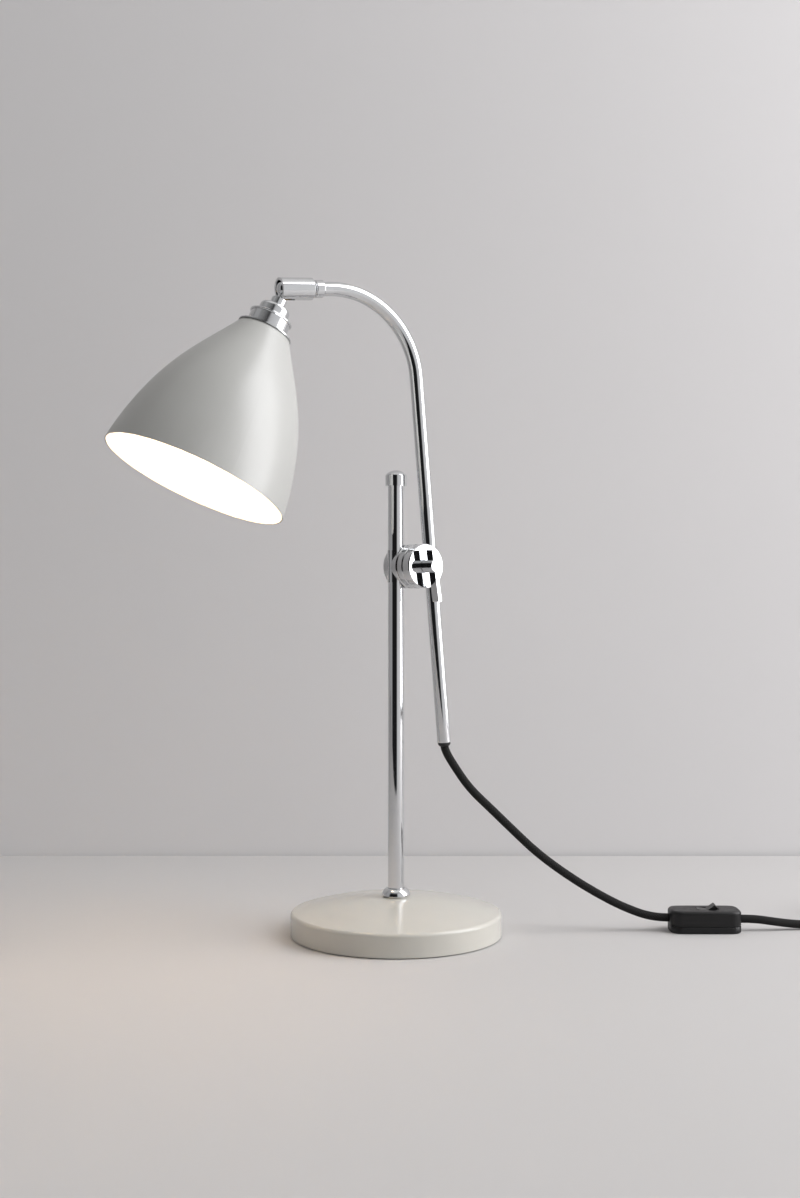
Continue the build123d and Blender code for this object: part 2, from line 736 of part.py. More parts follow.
def switch_block(inset, low, high):
    """Rounded block of the switch's plan, drawn in by a wall."""
    plan = RectangleRounded(SWITCH_L - 2 * inset, SWITCH_W - 2 * inset, SWITCH_CORNER - inset)
    return Pos(0, 0, low) * extrude(plan, high - low)


def rocker_shift():
    """Place of the rocker along the switch, from the switch's middle."""
    return ROCKER_X - SWITCH_X - SWITCH_L / 2


def switch_cover():
    """Upper shell with the rocker's window and the cheeks that hold its pins."""
    shell = switch_block(0, SWITCH_SEAM + SEAT, SWITCH_H)
    shell = fillet(shell.faces().sort_by(Axis.Z)[-1].edges(), SWITCH_EDGE)
    shell -= switch_block(SWITCH_WALL, SWITCH_SEAM, SWITCH_H - SWITCH_WALL)
    inner = ROCKER_W / 2 + PLAY
    foot = ROCKER_PIVOT_Z - ROCKER_PIN_D
    for side in (-1, 1):
        cheek = block(3 * ROCKER_PIN_D, ROCKER_CHEEK_T, foot, SWITCH_H - SWITCH_WALL)
        shell += Pos(rocker_shift(), side * (inner + ROCKER_CHEEK_T / 2), 0) * cheek
    window = block(ROCKER_WINDOW_L, 2 * inner, foot, SWITCH_H)
    pin_hole = Pos(0, 0, ROCKER_PIVOT_Z) * Rotation(90, 0, 0) * rod(
        ROCKER_PIN_D + 2 * FIT, -inner - ROCKER_CHEEK_T, inner + ROCKER_CHEEK_T
    )
    return switch_place() * (shell - Pos(rocker_shift(), 0, 0) * (window + pin_hole))


def switch_base():
    """Lower shell with posts for the screws."""
    shell = switch_block(0, 0, SWITCH_SEAM)
    shell = fillet(shell.faces().sort_by(Axis.Z)[0].edges(), SWITCH_FOOT_EDGE)
    shell -= switch_block(SWITCH_WALL, SWITCH_WALL, SWITCH_SEAM)
    for x in screw_places():
        shell += Pos(x, 0, 0) * rod(SCREW_HEAD_D + 2 * SWITCH_WALL, SWITCH_FOOT_EDGE / 2, SWITCH_SEAM)
        shell -= Pos(x, 0, 0) * rod(SCREW_HEAD_D + 2 * SEAT, 0, SCREW_HEAD_T + SWITCH_FOOT_EDGE / 2)
        shell -= Pos(x, 0, 0) * rod(SCREW_D + 2 * SEAT, 0, CUT)
    return switch_place() * shell


def screw_places():
    """Places of the two screws along the switch."""
    reach = SWITCH_L / 2 - SCREW_INSET
    return (-reach, reach)


def switch_screws():
    """Two countersunk screws that hold the shells together from below."""
    low = SWITCH_FOOT_EDGE / 2
    head_end = low + SCREW_HEAD_T - SEAT
    screws = []
    for x in screw_places():
        screw = rod(SCREW_HEAD_D, low, head_end) + rod(SCREW_D, head_end, head_end + SCREW_L)
        screws.append(switch_place() * Pos(x, 0, 0) * screw)
    return Compound(children=screws)


def switch_contacts():
    """Two brass terminal blocks on the floor of the switch."""
    length, width, height = CONTACT_SIZE
    terminal = block(length, width, SWITCH_WALL, SWITCH_WALL + height)
    reach = CONTACT_SPACING / 2
    return Compound(children=[switch_place() * Pos(x, 0, 0) * terminal for x in (-reach, reach)])


def switch_rocker():
    """Rocker with a shallow V on top and two stub pins, pressed down on its left side."""
    half = ROCKER_L / 2
    outline = Polyline(
        (-half, ROCKER_END_H),
        (0, ROCKER_MID_H),
        (half, ROCKER_END_H),
        (half, ROCKER_SHOULDER_H),
        (half / 3, -ROCKER_KEEL),
        (-half / 3, -ROCKER_KEEL),
        (-half, ROCKER_SHOULDER_H),
        close=True,
    )
    key = Rotation(90, 0, 0) * extrude(make_face(outline.edges()), ROCKER_W / 2, both=True)
    reach = ROCKER_W / 2 + PLAY + ROCKER_CHEEK_T
    pins = Rotation(90, 0, 0) * rod(ROCKER_PIN_D, -reach, reach)
    place = Location((ROCKER_X, SWITCH_Y, ROCKER_PIVOT_Z))
    return place * Rotation(0, -ROCKER_THROW, 0) * (key + pins)


def cord_tube(route, label):
    """Round cord along straight runs joined by arcs as large as the runs allow."""
    knots = [Vector(*point) for point in route]
    runs = [after - before for before, after in zip(knots, knots[1:])]
    radii = []
    for before, after in zip(runs, runs[1:]):
        half_turn = math.radians(before.get_angle(after)) / 2
        radii.append(CORD_ARC_SHARE * min(before.length, after.length) / math.tan(half_turn))
    path = FilletPolyline(*knots, radius=radii)
    cord = sweep(Plane(origin=knots[0], z_dir=runs[0]) * Circle(CORD_R), path=path)
    straight_volume = math.pi * CORD_R**2 * path.length
    print(label, "length", round(path.length, 1), "arc radii", [round(r, 1) for r in radii])
    print(label, "volume against section times length", round(cord.volume / straight_volume, 4))
    return cord


def coil_line():
    """Centre line of the coil: in along the floor, up a layer in one half turn, and out again."""
    half_step = (CORD_D + COIL_GAP) / 2
    low = CORD_R + COIL_LIFT
    high = low + 2 * half_step
    inward = [COIL_INNER_R + k * half_step for k in range(COIL_HALF_TURNS, 0, -1)]
    outward = [COIL_INNER_R + k * half_step for k in range(1, COIL_HALF_TURNS)]
    turns = [(r, low, low) for r in inward]
    turns += [(COIL_INNER_R, low, high)]
    turns += [(r, high, high) for r in outward]
    at = Vector(COIL_X, COIL_Y, low)
    edges = [Line(at - (CORD_D, 0, 0), at)]
    side = 1
    for r, start_z, end_z in turns:
        end = Vector(COIL_X, at.Y + side * 2 * r, end_z)
        middle = (at + end) / 2 + Vector(side * (end - at).length / 2, 0, 0)
        edges.append(ThreePointArc(at, middle, end))
        at = end
        side = -side
    edges.append(Line(at, at + (CORD_D, 0, 0)))
    return edges


def least_gap(edges):
    """Least free gap between turns of the coil, measured on points of its centre line."""
    points = []
    travelled = 0.0
    for edge in edges:
        for k in range(COIL_SAMPLES):
            share = k / COIL_SAMPLES
            points.append((travelled + share * edge.length, tuple(edge @ share)))
        travelled += edge.length
    apart = math.pi * COIL_INNER_R
    gaps = []
    for index, (s, point) in enumerate(points):
        gaps += [math.dist(point, other) for t, other in points[index + 1 :] if t - s > apart]
    return min(gaps) - CORD_D


def cord_coil():
    """Spare cord as one unbroken coil."""
    edges = coil_line()
    path = Wire([edge.edge() for edge in edges])
    print("coil length", round(path.length, 1), "least gap to itself", round(least_gap(edges), 2))
    section = Plane(origin=edges[0] @ 0, z_dir=edges[0] % 0) * Circle(CORD_R)
    return sweep(section, path=path)


def cord_tie():
    """Flat band round one side of the coil."""
    half_step = (CORD_D + COIL_GAP) / 2
    inner = COIL_INNER_R + half_step
    outer = COIL_INNER_R + (COIL_HALF_TURNS - 1) * half_step
    width = outer - inner + CORD_D + 2 * TIE_SLACK
    height = 2 * CORD_D + COIL_GAP + 2 * TIE_HEADROOM
    band = RectangleRounded(width + 2 * TIE_T, height + 2 * TIE_T, TIE_CORNER + TIE_T)
    band -= RectangleRounded(width, height, TIE_CORNER)
    x = COIL_X - (inner + outer) / 2
    y = COIL_Y + COIL_INNER_R + COIL_HALF_TURNS * half_step
    z = COIL_LIFT + CORD_D + COIL_GAP / 2
    return Pos(x, y, z) * Rotation(90, 0, 0) * extrude(band, TIE_W / 2, both=True)


def plug_plan(inset):
    """Plan of the plug: square-shouldered at the far end, narrower where the cord enters."""
    half = PLUG_W / 2 - inset
    tail = PLUG_TAIL_W / 2 - inset
    low = inset
    high = PLUG_L - inset
    shoulder = PLUG_L / 2
    left = [(low, -tail), (shoulder, -half), (high, -half)]
    right = [(high, half), (shoulder, half), (low, tail)]
    outline = Polyline(*left, *right, close=True)
    face = make_face(outline.edges())
    return fillet(face.vertices().group_by(Axis.X)[-1], PLUG_CORNER - inset)


def plug_cover():
    """Cover of the plug, lying on the table, hollow above."""
    shell = extrude(plug_plan(0), PLUG_COVER_H)
    shell = chamfer(shell.faces().sort_by(Axis.Z)[0].edges(), PLUG_EDGE)
    shell -= Pos(0, 0, PLUG_WALL) * extrude(plug_plan(PLUG_WALL), PLUG_COVER_H)
    spot = Pos(PLUG_SCREW_AT, 0, 0)
    shell += spot * rod(PLUG_SCREW_D + 2 * PLUG_WALL, PLUG_EDGE / 2, PLUG_COVER_H)
    return PLUG * (shell - spot * rod(PLUG_SCREW_D + 2 * SEAT, 0, PLUG_SCREW_H + SEAT))


def plug_base():
    """Base of the plug with the openings for its pins."""
    low = PLUG_COVER_H + SEAT
    plate = Pos(0, 0, low) * extrude(plug_plan(0), PLUG_BASE_H)
    for place, size in pin_places():
        hole = block(size[0] + 2 * SEAT, size[1] + 2 * SEAT, 0, CUT)
        plate -= place * hole
    return PLUG * plate


def pin_places():
    """Places and sizes of the three pins."""
    near = PIN_LINE_FROM_CORD
    return (
        (Pos(near, -PIN_PITCH / 2, 0), (PIN_LINE[1], PIN_LINE[0], PIN_LINE[2])),
        (Pos(near, PIN_PITCH / 2, 0), (PIN_LINE[1], PIN_LINE[0], PIN_LINE[2])),
        (Pos(near + PIN_PITCH, 0, 0), (PIN_EARTH[1], PIN_EARTH[0], PIN_EARTH[2])),
    )


def plug_pin(place, size):
    """Flat pin with chamfered end, standing out of the plug's base."""
    root = PLUG_COVER_H + SEAT - PIN_ROOT
    end = PLUG_COVER_H + SEAT + PLUG_BASE_H + size[2]
    bar = block(size[0], size[1], root, end)
    bar = chamfer(bar.faces().sort_by(Axis.Z)[-1].edges(), min(size[0], size[1]) / 4)
    return PLUG * place * bar


def plug_line_pins():
    """The two line pins."""
    return Compound(children=[plug_pin(*pin) for pin in pin_places()[:2]])


def plug_earth_pin():
    """The longer earth pin."""
    return plug_pin(*pin_places()[2])


def plug_screw():
    """Screw that closes the plug, with its head in the cover."""
    return PLUG * Pos(PLUG_SCREW_AT, 0, 0) * rod(PLUG_SCREW_D, PLUG_EDGE / 2, PLUG_SCREW_H)


def plug_fuse():
    """Cartridge fuse on the inside of the base, beside the screw."""
    height = PLUG_COVER_H + SEAT - FUSE_D / 2 - SEAT
    spot = Pos(FUSE_FROM_CORD, FUSE_ASIDE, height)
    return PLUG * spot * Rotation(0, 90, 0) * rod(FUSE_D, 0, FUSE_L)


NODES = {
    "base_cover": base_cover,
    "base_weight": base_weight,
    "base_pad": base_pad,
    "column": column,
    "column_washer": column_washer,
    "column_nut": column_nut,
    "column_collar": column_collar,
    "column_cap": column_cap,
    "column_liner": column_liner,
    "rear_clamp_disc": rear_clamp_disc,
    "column_clamp_disc": column_clamp_disc,
    "friction_washer": friction_washer,
    "tie_bolt": tie_bolt,
    "arm_clamp_disc": arm_clamp_disc,
    "front_clamp_disc": front_clamp_disc,
    "clamp_lever": clamp_lever,
    "arm_liner": arm_liner,
    "arm_tube": arm_tube,
    "arm_flex": arm_flex,
    "arm_end_bush": arm_end_bush,
    "arm_ferrule": arm_ferrule,
    "arm_retainer": arm_retainer,
    "socket_tube": socket_tube,
    "socket_spring": socket_spring,
    "ball_cup": ball_cup,
    "ball_stem": ball_stem,
    "head_flex": head_flex,
    "lampholder_cap": lampholder_cap,
    "lampholder_flange": lampholder_flange,
    "lampholder_skirt": lampholder_skirt,
    "lampholder_core": lampholder_core,
    "shade_seat_ring": shade_seat_ring,
    "shade_nut": shade_nut,
    "shade": shade,
    "bulb_glass": bulb_glass,
    "bulb_cap": bulb_cap,
    "bulb_contact": bulb_contact,
    "switch_cover": switch_cover,
    "switch_base": switch_base,
    "switch_screws": switch_screws,
    "switch_contacts": switch_contacts,
    "switch_rocker": switch_rocker,
    "cord_drop": lambda: cord_tube(DROP_ROUTE, "cord_drop"),
    "cord_lead": lambda: cord_tube(LEAD_ROUTE, "cord_lead"),
    "cord_coil": cord_coil,
    "cord_tail": lambda: cord_tube(TAIL_ROUTE, "cord_tail"),
    "cord_tie": cord_tie,
    "plug_cover": plug_cover,
    "plug_base": plug_base,
    "plug_line_pins": plug_line_pins,
    "plug_earth_pin": plug_earth_pin,
    "plug_screw": plug_screw,
    "plug_fuse": plug_fuse,
}

os.makedirs("parts", exist_ok=True)
for name, make in NODES.items():
    export_step(make(), f"parts/{name}.step")
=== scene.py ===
"""Looks of a table task lamp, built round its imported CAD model.

Lengths are in metres in the model's own frame: +Z is up, the origin lies under the middle of the base,
+X runs to the in-line switch and +Y away from someone who sits in front of the lamp.
"""

from __future__ import annotations

import json
import logging
import math
from dataclasses import dataclass, field
from enum import Enum
from typing import Any, Sequence

import bmesh
import bpy
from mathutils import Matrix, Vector

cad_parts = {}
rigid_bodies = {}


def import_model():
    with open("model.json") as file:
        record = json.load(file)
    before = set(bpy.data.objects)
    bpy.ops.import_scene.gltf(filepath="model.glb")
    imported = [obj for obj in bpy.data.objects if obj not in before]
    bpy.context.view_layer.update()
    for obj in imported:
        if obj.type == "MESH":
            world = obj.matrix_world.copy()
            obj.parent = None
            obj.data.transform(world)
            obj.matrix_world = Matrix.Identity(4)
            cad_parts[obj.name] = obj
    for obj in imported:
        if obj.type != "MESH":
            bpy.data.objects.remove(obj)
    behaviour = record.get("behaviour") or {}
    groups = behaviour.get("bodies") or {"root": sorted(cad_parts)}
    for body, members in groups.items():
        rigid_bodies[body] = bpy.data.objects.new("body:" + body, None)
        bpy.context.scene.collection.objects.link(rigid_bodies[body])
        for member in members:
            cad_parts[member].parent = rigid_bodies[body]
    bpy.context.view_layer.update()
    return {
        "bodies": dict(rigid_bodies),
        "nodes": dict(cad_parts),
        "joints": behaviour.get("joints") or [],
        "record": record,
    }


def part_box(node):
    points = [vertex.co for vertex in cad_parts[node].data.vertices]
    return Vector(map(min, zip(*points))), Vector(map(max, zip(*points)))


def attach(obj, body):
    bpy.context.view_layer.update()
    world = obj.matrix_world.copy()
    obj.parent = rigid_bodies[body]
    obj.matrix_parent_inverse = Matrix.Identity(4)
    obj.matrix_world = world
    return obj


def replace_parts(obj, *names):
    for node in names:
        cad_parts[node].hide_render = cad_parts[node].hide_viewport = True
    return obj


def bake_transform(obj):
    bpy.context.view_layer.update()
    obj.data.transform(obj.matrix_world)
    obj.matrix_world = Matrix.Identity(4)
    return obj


LOG = logging.getLogger("task_lamp")
MM = 0.001
Point = tuple[float, float, float]
Colour = tuple[float, float, float, float]
Tree = bpy.types.NodeTree
Node = bpy.types.Node
Socket = bpy.types.NodeSocket

# Nearly all of a noise texture's values lie between these two.
NOISE_LOW, NOISE_HIGH = 0.3, 0.7
MOTTLE_DETAIL, GRAIN_DETAIL = 3.0, 2.0
SHEEN_ROUGHNESS = 0.5


def linear(code: str) -> Colour:
    """Turns an sRGB hex colour into linear RGBA.

    Args:
        code: the colour as #rrggbb.

    Returns:
        The linear red, green and blue, and an alpha of 1.
    """
    parts = [int(code[i : i + 2], 16) / 255 for i in (1, 3, 5)]
    red, green, blue = [p / 12.92 if p <= 0.04045 else ((p + 0.055) / 1.055) ** 2.4 for p in parts]
    return red, green, blue, 1.0


def add_node(tree: Tree, kind: str, inputs: dict[Any, Any] | None = None, **settings: Any) -> Node:
    """Adds a node, sets its properties, and sets or links its inputs.

    Args:
        tree: the node tree that gets the node.
        kind: the node's type name.
        inputs: input name or index to a value, or to the output socket that feeds it.
        settings: the node's own properties.

    Returns:
        The new node.
    """
    node = tree.nodes.new(kind)
    for name, value in settings.items():
        setattr(node, name, value)
    for name, value in (inputs or {}).items():
        if isinstance(value, Socket):
            tree.links.new(value, node.inputs[name])
        else:
            node.inputs[name].default_value = value
    return node


def mix(tree: Tree, share: Socket, one: Socket | Colour, two: Colour) -> Socket:
    """Mixes two colours.

    Args:
        tree: the node tree that gets the node.
        share: the second colour's share.
        one: the first colour, or the socket that gives it.
        two: the second colour.

    Returns:
        The mixed colour.
    """
    return add_node(tree, "ShaderNodeMix", {0: share, 6: one, 7: two}, data_type="RGBA").outputs[2]


def add_object(name: str, data: bpy.types.ID) -> bpy.types.Object:
    """Adds an object to the scene.

    Args:
        name: the object's name.
        data: its mesh, curve, lamp or camera.

    Returns:
        The new object.
    """
    made = bpy.data.objects.new(name, data)
    bpy.context.scene.collection.objects.link(made)
    return made


def plain_mesh(curve: bpy.types.Object) -> bpy.types.Mesh:
    """Makes a plain mesh of a curve, as its modifiers leave it.

    Args:
        curve: the curve.

    Returns:
        The mesh.
    """
    return bpy.data.meshes.new_from_object(curve.evaluated_get(bpy.context.evaluated_depsgraph_get()))


@dataclass(frozen=True)
class Finish:
    """A finish with mottled colour and gloss, and a fine grain.

    Attributes:
        name: the material's name.
        colour: the main colour.
        second: the colour that the mottling goes to.
        gloss: lowest and highest roughness.
        mottle_mm: size of the mottling.
        grain_mm: size of the grain.
        depth_mm: height of the grain.
        metallic: 1 for bare metal.
        ior: index of refraction, for what isn't metal.
        coat: weight of a clear top coat.
        sheen: weight of a cloth's sheen.
    """

    name: str
    colour: str
    second: str
    gloss: tuple[float, float]
    mottle_mm: float
    grain_mm: float
    depth_mm: float
    metallic: float = 0.0
    ior: float = 1.5
    coat: float = 0.0
    sheen: float = 0.0

    def material(self) -> bpy.types.Material:
        """Makes the material at its first use, and gives the same one after that.

        Returns:
            The finished material.
        """
        made = bpy.data.materials.get(self.name)
        if made is None:
            made = bpy.data.materials.new(self.name)
            made.use_nodes = True
            shader = made.node_tree.nodes["Principled BSDF"]
            shader.inputs["Metallic"].default_value = self.metallic
            if self.metallic < 1:
                shader.inputs["IOR"].default_value = self.ior
            if self.coat:
                shader.inputs["Coat Weight"].default_value = self.coat
                shader.inputs["Coat Roughness"].default_value = self.gloss[0] / 2
            if self.sheen:
                shader.inputs["Sheen Weight"].default_value = self.sheen
                shader.inputs["Sheen Roughness"].default_value = SHEEN_ROUGHNESS
            self.detail(made.node_tree, shader)
        return made

    def detail(self, tree: Tree, shader: Node) -> None:
        """Links mottled colour, mottled gloss and grain to the shader.

        Args:
            tree: the material's node tree.
            shader: its main shader.
        """
        place = add_node(tree, "ShaderNodeTexCoord").outputs["Object"]
        mottle, grain = (
            add_node(
                tree, "ShaderNodeTexNoise", {"Vector": place, "Scale": 1 / (size * MM), "Detail": detail}
            ).outputs["Fac"]
            for size, detail in ((self.mottle_mm, MOTTLE_DETAIL), (self.grain_mm, GRAIN_DETAIL))
        )
        colour = mix(tree, mottle, linear(self.colour), linear(self.second))
        self.finish(tree, shader, colour, mottle, grain)

    def finish(self, tree: Tree, shader: Node, colour: Socket, mottle: Socket, height: Socket) -> None:
        """Feeds the shader's colour, roughness and bump.

        Args:
            tree: the material's node tree.
            shader: its main shader.
            colour: the surface's colour.
            mottle: 0 to 1, from the lowest to the highest roughness.
            height: 0 to 1, from the grain's lowest to its highest point.
        """
        low, high = self.gloss
        rough = add_node(
            tree, "ShaderNodeMapRange",
            {"Value": mottle, "From Min": NOISE_LOW, "From Max": NOISE_HIGH, "To Min": low, "To Max": high},
        ).outputs[0]
        bump = add_node(
            tree, "ShaderNodeBump", {"Strength": 1.0, "Distance": self.depth_mm * MM, "Height": height}
        ).outputs["Normal"]
        for name, socket in (("Base Color", colour), ("Roughness", rough), ("Normal", bump)):
            tree.links.new(socket, shader.inputs[name])


@dataclass(frozen=True)
class LinedEnamel(Finish):
    """Enamel with another colour on the walls that face a shade's axis.

    Attributes:
        lining: colour inside the shade.
        axis_at: a point on the shade's axis, in metres.
        axis: direction of the axis.
    """

    lining: str = "#f4f2ee"
    axis_at: Point = (0.0, 0.0, 0.0)
    axis: Point = (0.0, 0.0, 1.0)

    def finish(self, tree: Tree, shader: Node, colour: Socket, mottle: Socket, height: Socket) -> None:
        """Puts the lining's colour on the inner wall, then feeds the shader.

        Args:
            tree: the material's node tree.
            shader: its main shader.
            colour: the outer wall's colour.
            mottle: 0 to 1, from the lowest to the highest roughness.
            height: 0 to 1, from the grain's lowest to its highest point.
        """
        place = add_node(tree, "ShaderNodeTexCoord")
        kind = "ShaderNodeVectorMath"
        spot, normal = (place.outputs[name] for name in ("Object", "Normal"))
        out = add_node(tree, kind, {0: spot, 1: self.axis_at}, operation="SUBTRACT").outputs[0]
        along = add_node(tree, kind, {0: out, 1: self.axis}, operation="PROJECT").outputs[0]
        radial = add_node(tree, kind, {0: out, 1: along}, operation="SUBTRACT").outputs[0]
        facing = add_node(tree, kind, {0: radial, 1: normal}, operation="DOT_PRODUCT")
        inner = add_node(tree, "ShaderNodeMath", {0: facing.outputs["Value"], 1: 0.0}, operation="LESS_THAN")
        both = mix(tree, inner.outputs[0], colour, linear(self.lining))
        super().finish(tree, shader, both, mottle, height)


@dataclass(frozen=True)
class Braid(Finish):
    """Plaited yarn over a flex, laid by the tube's own braid attribute, with painted shade: the second colour
    on the yarns' tops, the first in the grooves between them.

    Attributes:
        yarns: yarns each way round the flex.
        stitch_mm: length of a stitch along the flex.
    """

    yarns: int = 10
    stitch_mm: float = 2.4

    def detail(self, tree: Tree, shader: Node) -> None:
        """Draws the crossing yarns in colour and bump; the colour is painted shade, darker in the grooves and
        lighter on the yarns' tops.

        Args:
            tree: the material's node tree.
            shader: its main shader.
        """
        laid = add_node(tree, "ShaderNodeAttribute", attribute_name="braid").outputs["Vector"]
        kind = "ShaderNodeMath"
        across, up, along = add_node(tree, "ShaderNodeSeparateXYZ", {0: laid}).outputs
        turn = add_node(tree, kind, {0: up, 1: across}, operation="ARCTAN2").outputs[0]
        stitches = math.pi / (self.stitch_mm * MM)
        waves = []
        for way in (1, -1):
            phase = add_node(tree, kind, {0: along, 1: way * stitches}, operation="MULTIPLY").outputs[0]
            both = add_node(
                tree, kind, {0: turn, 1: self.yarns / 2, 2: phase}, operation="MULTIPLY_ADD"
            ).outputs[0]
            wave = add_node(tree, kind, {0: both}, operation="SINE").outputs[0]
            waves.append(add_node(tree, kind, {0: wave}, operation="ABSOLUTE").outputs[0])
        height = add_node(tree, kind, {0: waves[0], 1: waves[1]}, operation="MULTIPLY").outputs[0]
        # Painted shade: the colour follows the yarns' height, darker between them and lighter on their tops.
        colour = mix(tree, height, linear(self.colour), linear(self.second))
        self.finish(tree, shader, colour, height, height)


@dataclass(frozen=True)
class LitGlass(Finish):
    """Frosted glass of a bulb that is on.

    Attributes:
        light: colour of its light.
        strength: brightness of its light.
    """

    light: str = "#ffe2c0"
    strength: float = 23.0

    def detail(self, tree: Tree, shader: Node) -> None:
        """Adds the light to the frosted surface.

        Args:
            tree: the material's node tree.
            shader: its main shader.
        """
        shader.inputs["Emission Color"].default_value = linear(self.light)
        shader.inputs["Emission Strength"].default_value = self.strength
        super().detail(tree, shader)


# Axis of the shade, from the ball's centre down to the shade's mouth.
BALL_CENTRE: Point = (-0.08219, -0.06412, 0.49198)
SHADE_AXIS: Point = (-0.390847, -0.201343, -0.898165)


class Stuff(Enum):
    """The lamp's finishes, each named for its real material."""

    # Stove enamel on spun steel: a smooth putty-grey gloss with a faint orange peel and a clear reflection.
    BASE_ENAMEL = Finish("stove_enamel_base", "#cccac2", "#c6c3bb", (0.21, 0.265), 35, 1.6, 0.004, coat=0.3)
    # The same enamel outside the shade, more satin there and painted greyer and darker than the base's, as
    # painted shade; white enamel inside, where the bulb lights it.
    SHADE_ENAMEL = LinedEnamel(
        "stove_enamel_shade", "#b8b8b5", "#b3b3af", (0.3, 0.36), 35, 1.6, 0.004, ior=1.7,
        axis_at=BALL_CENTRE, axis=SHADE_AXIS,
    )
    # Bright chrome plate on polished tube: a mirror with a slight haze from buffing.
    CHROME = Finish("chrome_plate_polished", "#dcddde", "#d4d5d7", (0.03, 0.07), 9, 2.2, 0.0008, metallic=1.0)
    # Turned and lightly brushed chrome plate on the clamp and the lampholder: softer reflections.
    CHROME_SOFT = Finish("chrome_plate_turned", "#d6d7d8", "#cccdcf", (0.1, 0.17), 5, 0.9, 0.0015, metallic=1.0)
    # Grey cast iron as it leaves the sand: dark, dull and pitted.
    IRON = Finish("cast_iron", "#3d3c3b", "#2c2b2a", (0.62, 0.85), 6, 1.1, 0.12, metallic=0.6)
    # Pressed wool felt: matt, with short fibres.
    FELT = Finish("wool_felt", "#2f3330", "#3b403c", (0.9, 1.0), 3, 0.35, 0.15, sheen=0.4)
    # Zinc-plated steel: grey with a slight cast.
    STEEL = Finish("zinc_plated_steel", "#b4b6b8", "#9b9da0", (0.29, 0.42), 4, 0.8, 0.004, metallic=1.0)
    # Vulcanised fibre: a dense dark board with a faint layered grain.
    FIBRE = Finish("vulcanised_fibre", "#2b211d", "#3a2c26", (0.5, 0.7), 2, 0.5, 0.02, ior=1.54)
    # Black rubber: matt, with a little bloom.
    RUBBER = Finish("black_rubber", "#1b1b1c", "#262626", (0.6, 0.8), 3, 0.7, 0.01, ior=1.52)
    # Black rayon braid, pulled tight over the flex: matt, with a fine plait, its yarns' tops painted lighter
    # than the grooves between them as painted shade.
    # The stitches are drawn twice as long as the real ones, to show.
    FLEX = Braid("rayon_braid", "#060505", "#161413", (0.6, 0.85), 2.4, 2.4, 0.35, ior=1.38)
    # PVC sleeve of the cores inside the arm and the stem: dark, smooth and slightly waxy.
    CORE_PVC = Finish("pvc_sleeve", "#232324", "#2c2c2d", (0.4, 0.55), 5, 1.0, 0.01, ior=1.53)
    # Machined brass: warm yellow with fine tool marks.
    BRASS = Finish("machined_brass", "#d9b56a", "#c79f55", (0.18, 0.26), 3, 0.6, 0.004, metallic=1.0)
    # Glazed porcelain of the lampholder's core and the fuse: white, smooth and glossy.
    PORCELAIN = Finish("glazed_porcelain", "#e6e3dc", "#dfdcd3", (0.12, 0.2), 8, 1.4, 0.006, ior=1.55, coat=0.4)
    # Opal glass of a warm bulb, frosted inside, so that its light is even.
    BULB = LitGlass("opal_bulb_glass", "#f6f1e6", "#efe9dc", (0.35, 0.45), 6, 1.2, 0.004, ior=1.5)
    # Rolled aluminium of the bulb's screw cap: pale and satin.
    CAP_ALUMINIUM = Finish("rolled_aluminium", "#c9cacb", "#b7b8ba", (0.28, 0.38), 3, 0.6, 0.004, metallic=1.0)
    # Moulded ABS of the switch, spark-eroded: near black, satin, with a fine even texture.
    SWITCH_ABS = Finish("moulded_abs", "#0a090b", "#100f11", (0.38, 0.48), 4, 0.55, 0.012, ior=1.44)
    # Rocker of the same plastic with a polished mould.
    ROCKER_ABS = Finish("polished_abs", "#0a090b", "#0f0e10", (0.28, 0.36), 4, 0.9, 0.004, ior=1.42)
    # Urea moulding of the plug: harder and glossier than the switch.
    PLUG_UREA = Finish("urea_moulding", "#1a1a1b", "#212122", (0.28, 0.36), 5, 0.9, 0.006, ior=1.55)

    def dress(self, frame: dict[str, Any], *nodes: str) -> None:
        """Puts this finish into the material slots of CAD nodes.

        Args:
            frame: the loaded frame.
            nodes: names of the nodes.
        """
        for node in nodes:
            for place in frame["nodes"][node].material_slots:
                place.material = self.value.material()
            LOG.info("%s: %s", node, self.value.name)


class Seen(Enum):
    """What sees a sheet of the stage."""

    BY_ALL = "all"
    FROM_FRONT = "front"
    BY_CAMERA = "camera"


@dataclass(frozen=True)
class Softbox:
    """A rectangular soft lamp.

    Attributes:
        name: the lamp's name.
        at: its middle.
        to: the point it faces.
        size: its width and height.
        power: its power in watts.
        tint: its colour.
    """

    name: str
    at: Point
    to: Point
    size: tuple[float, float]
    power: float
    tint: str

    def build(self) -> None:
        """Adds the lamp to the scene."""
        data = bpy.data.lights.new(self.name, "AREA")
        data.shape = "RECTANGLE"
        data.size, data.size_y = self.size
        data.energy = self.power
        data.color = linear(self.tint)[:3]
        lamp = add_object(self.name, data)
        lamp.location = self.at
        lamp.rotation_euler = (Vector(self.to) - Vector(self.at)).to_track_quat("-Z", "Y").to_euler()


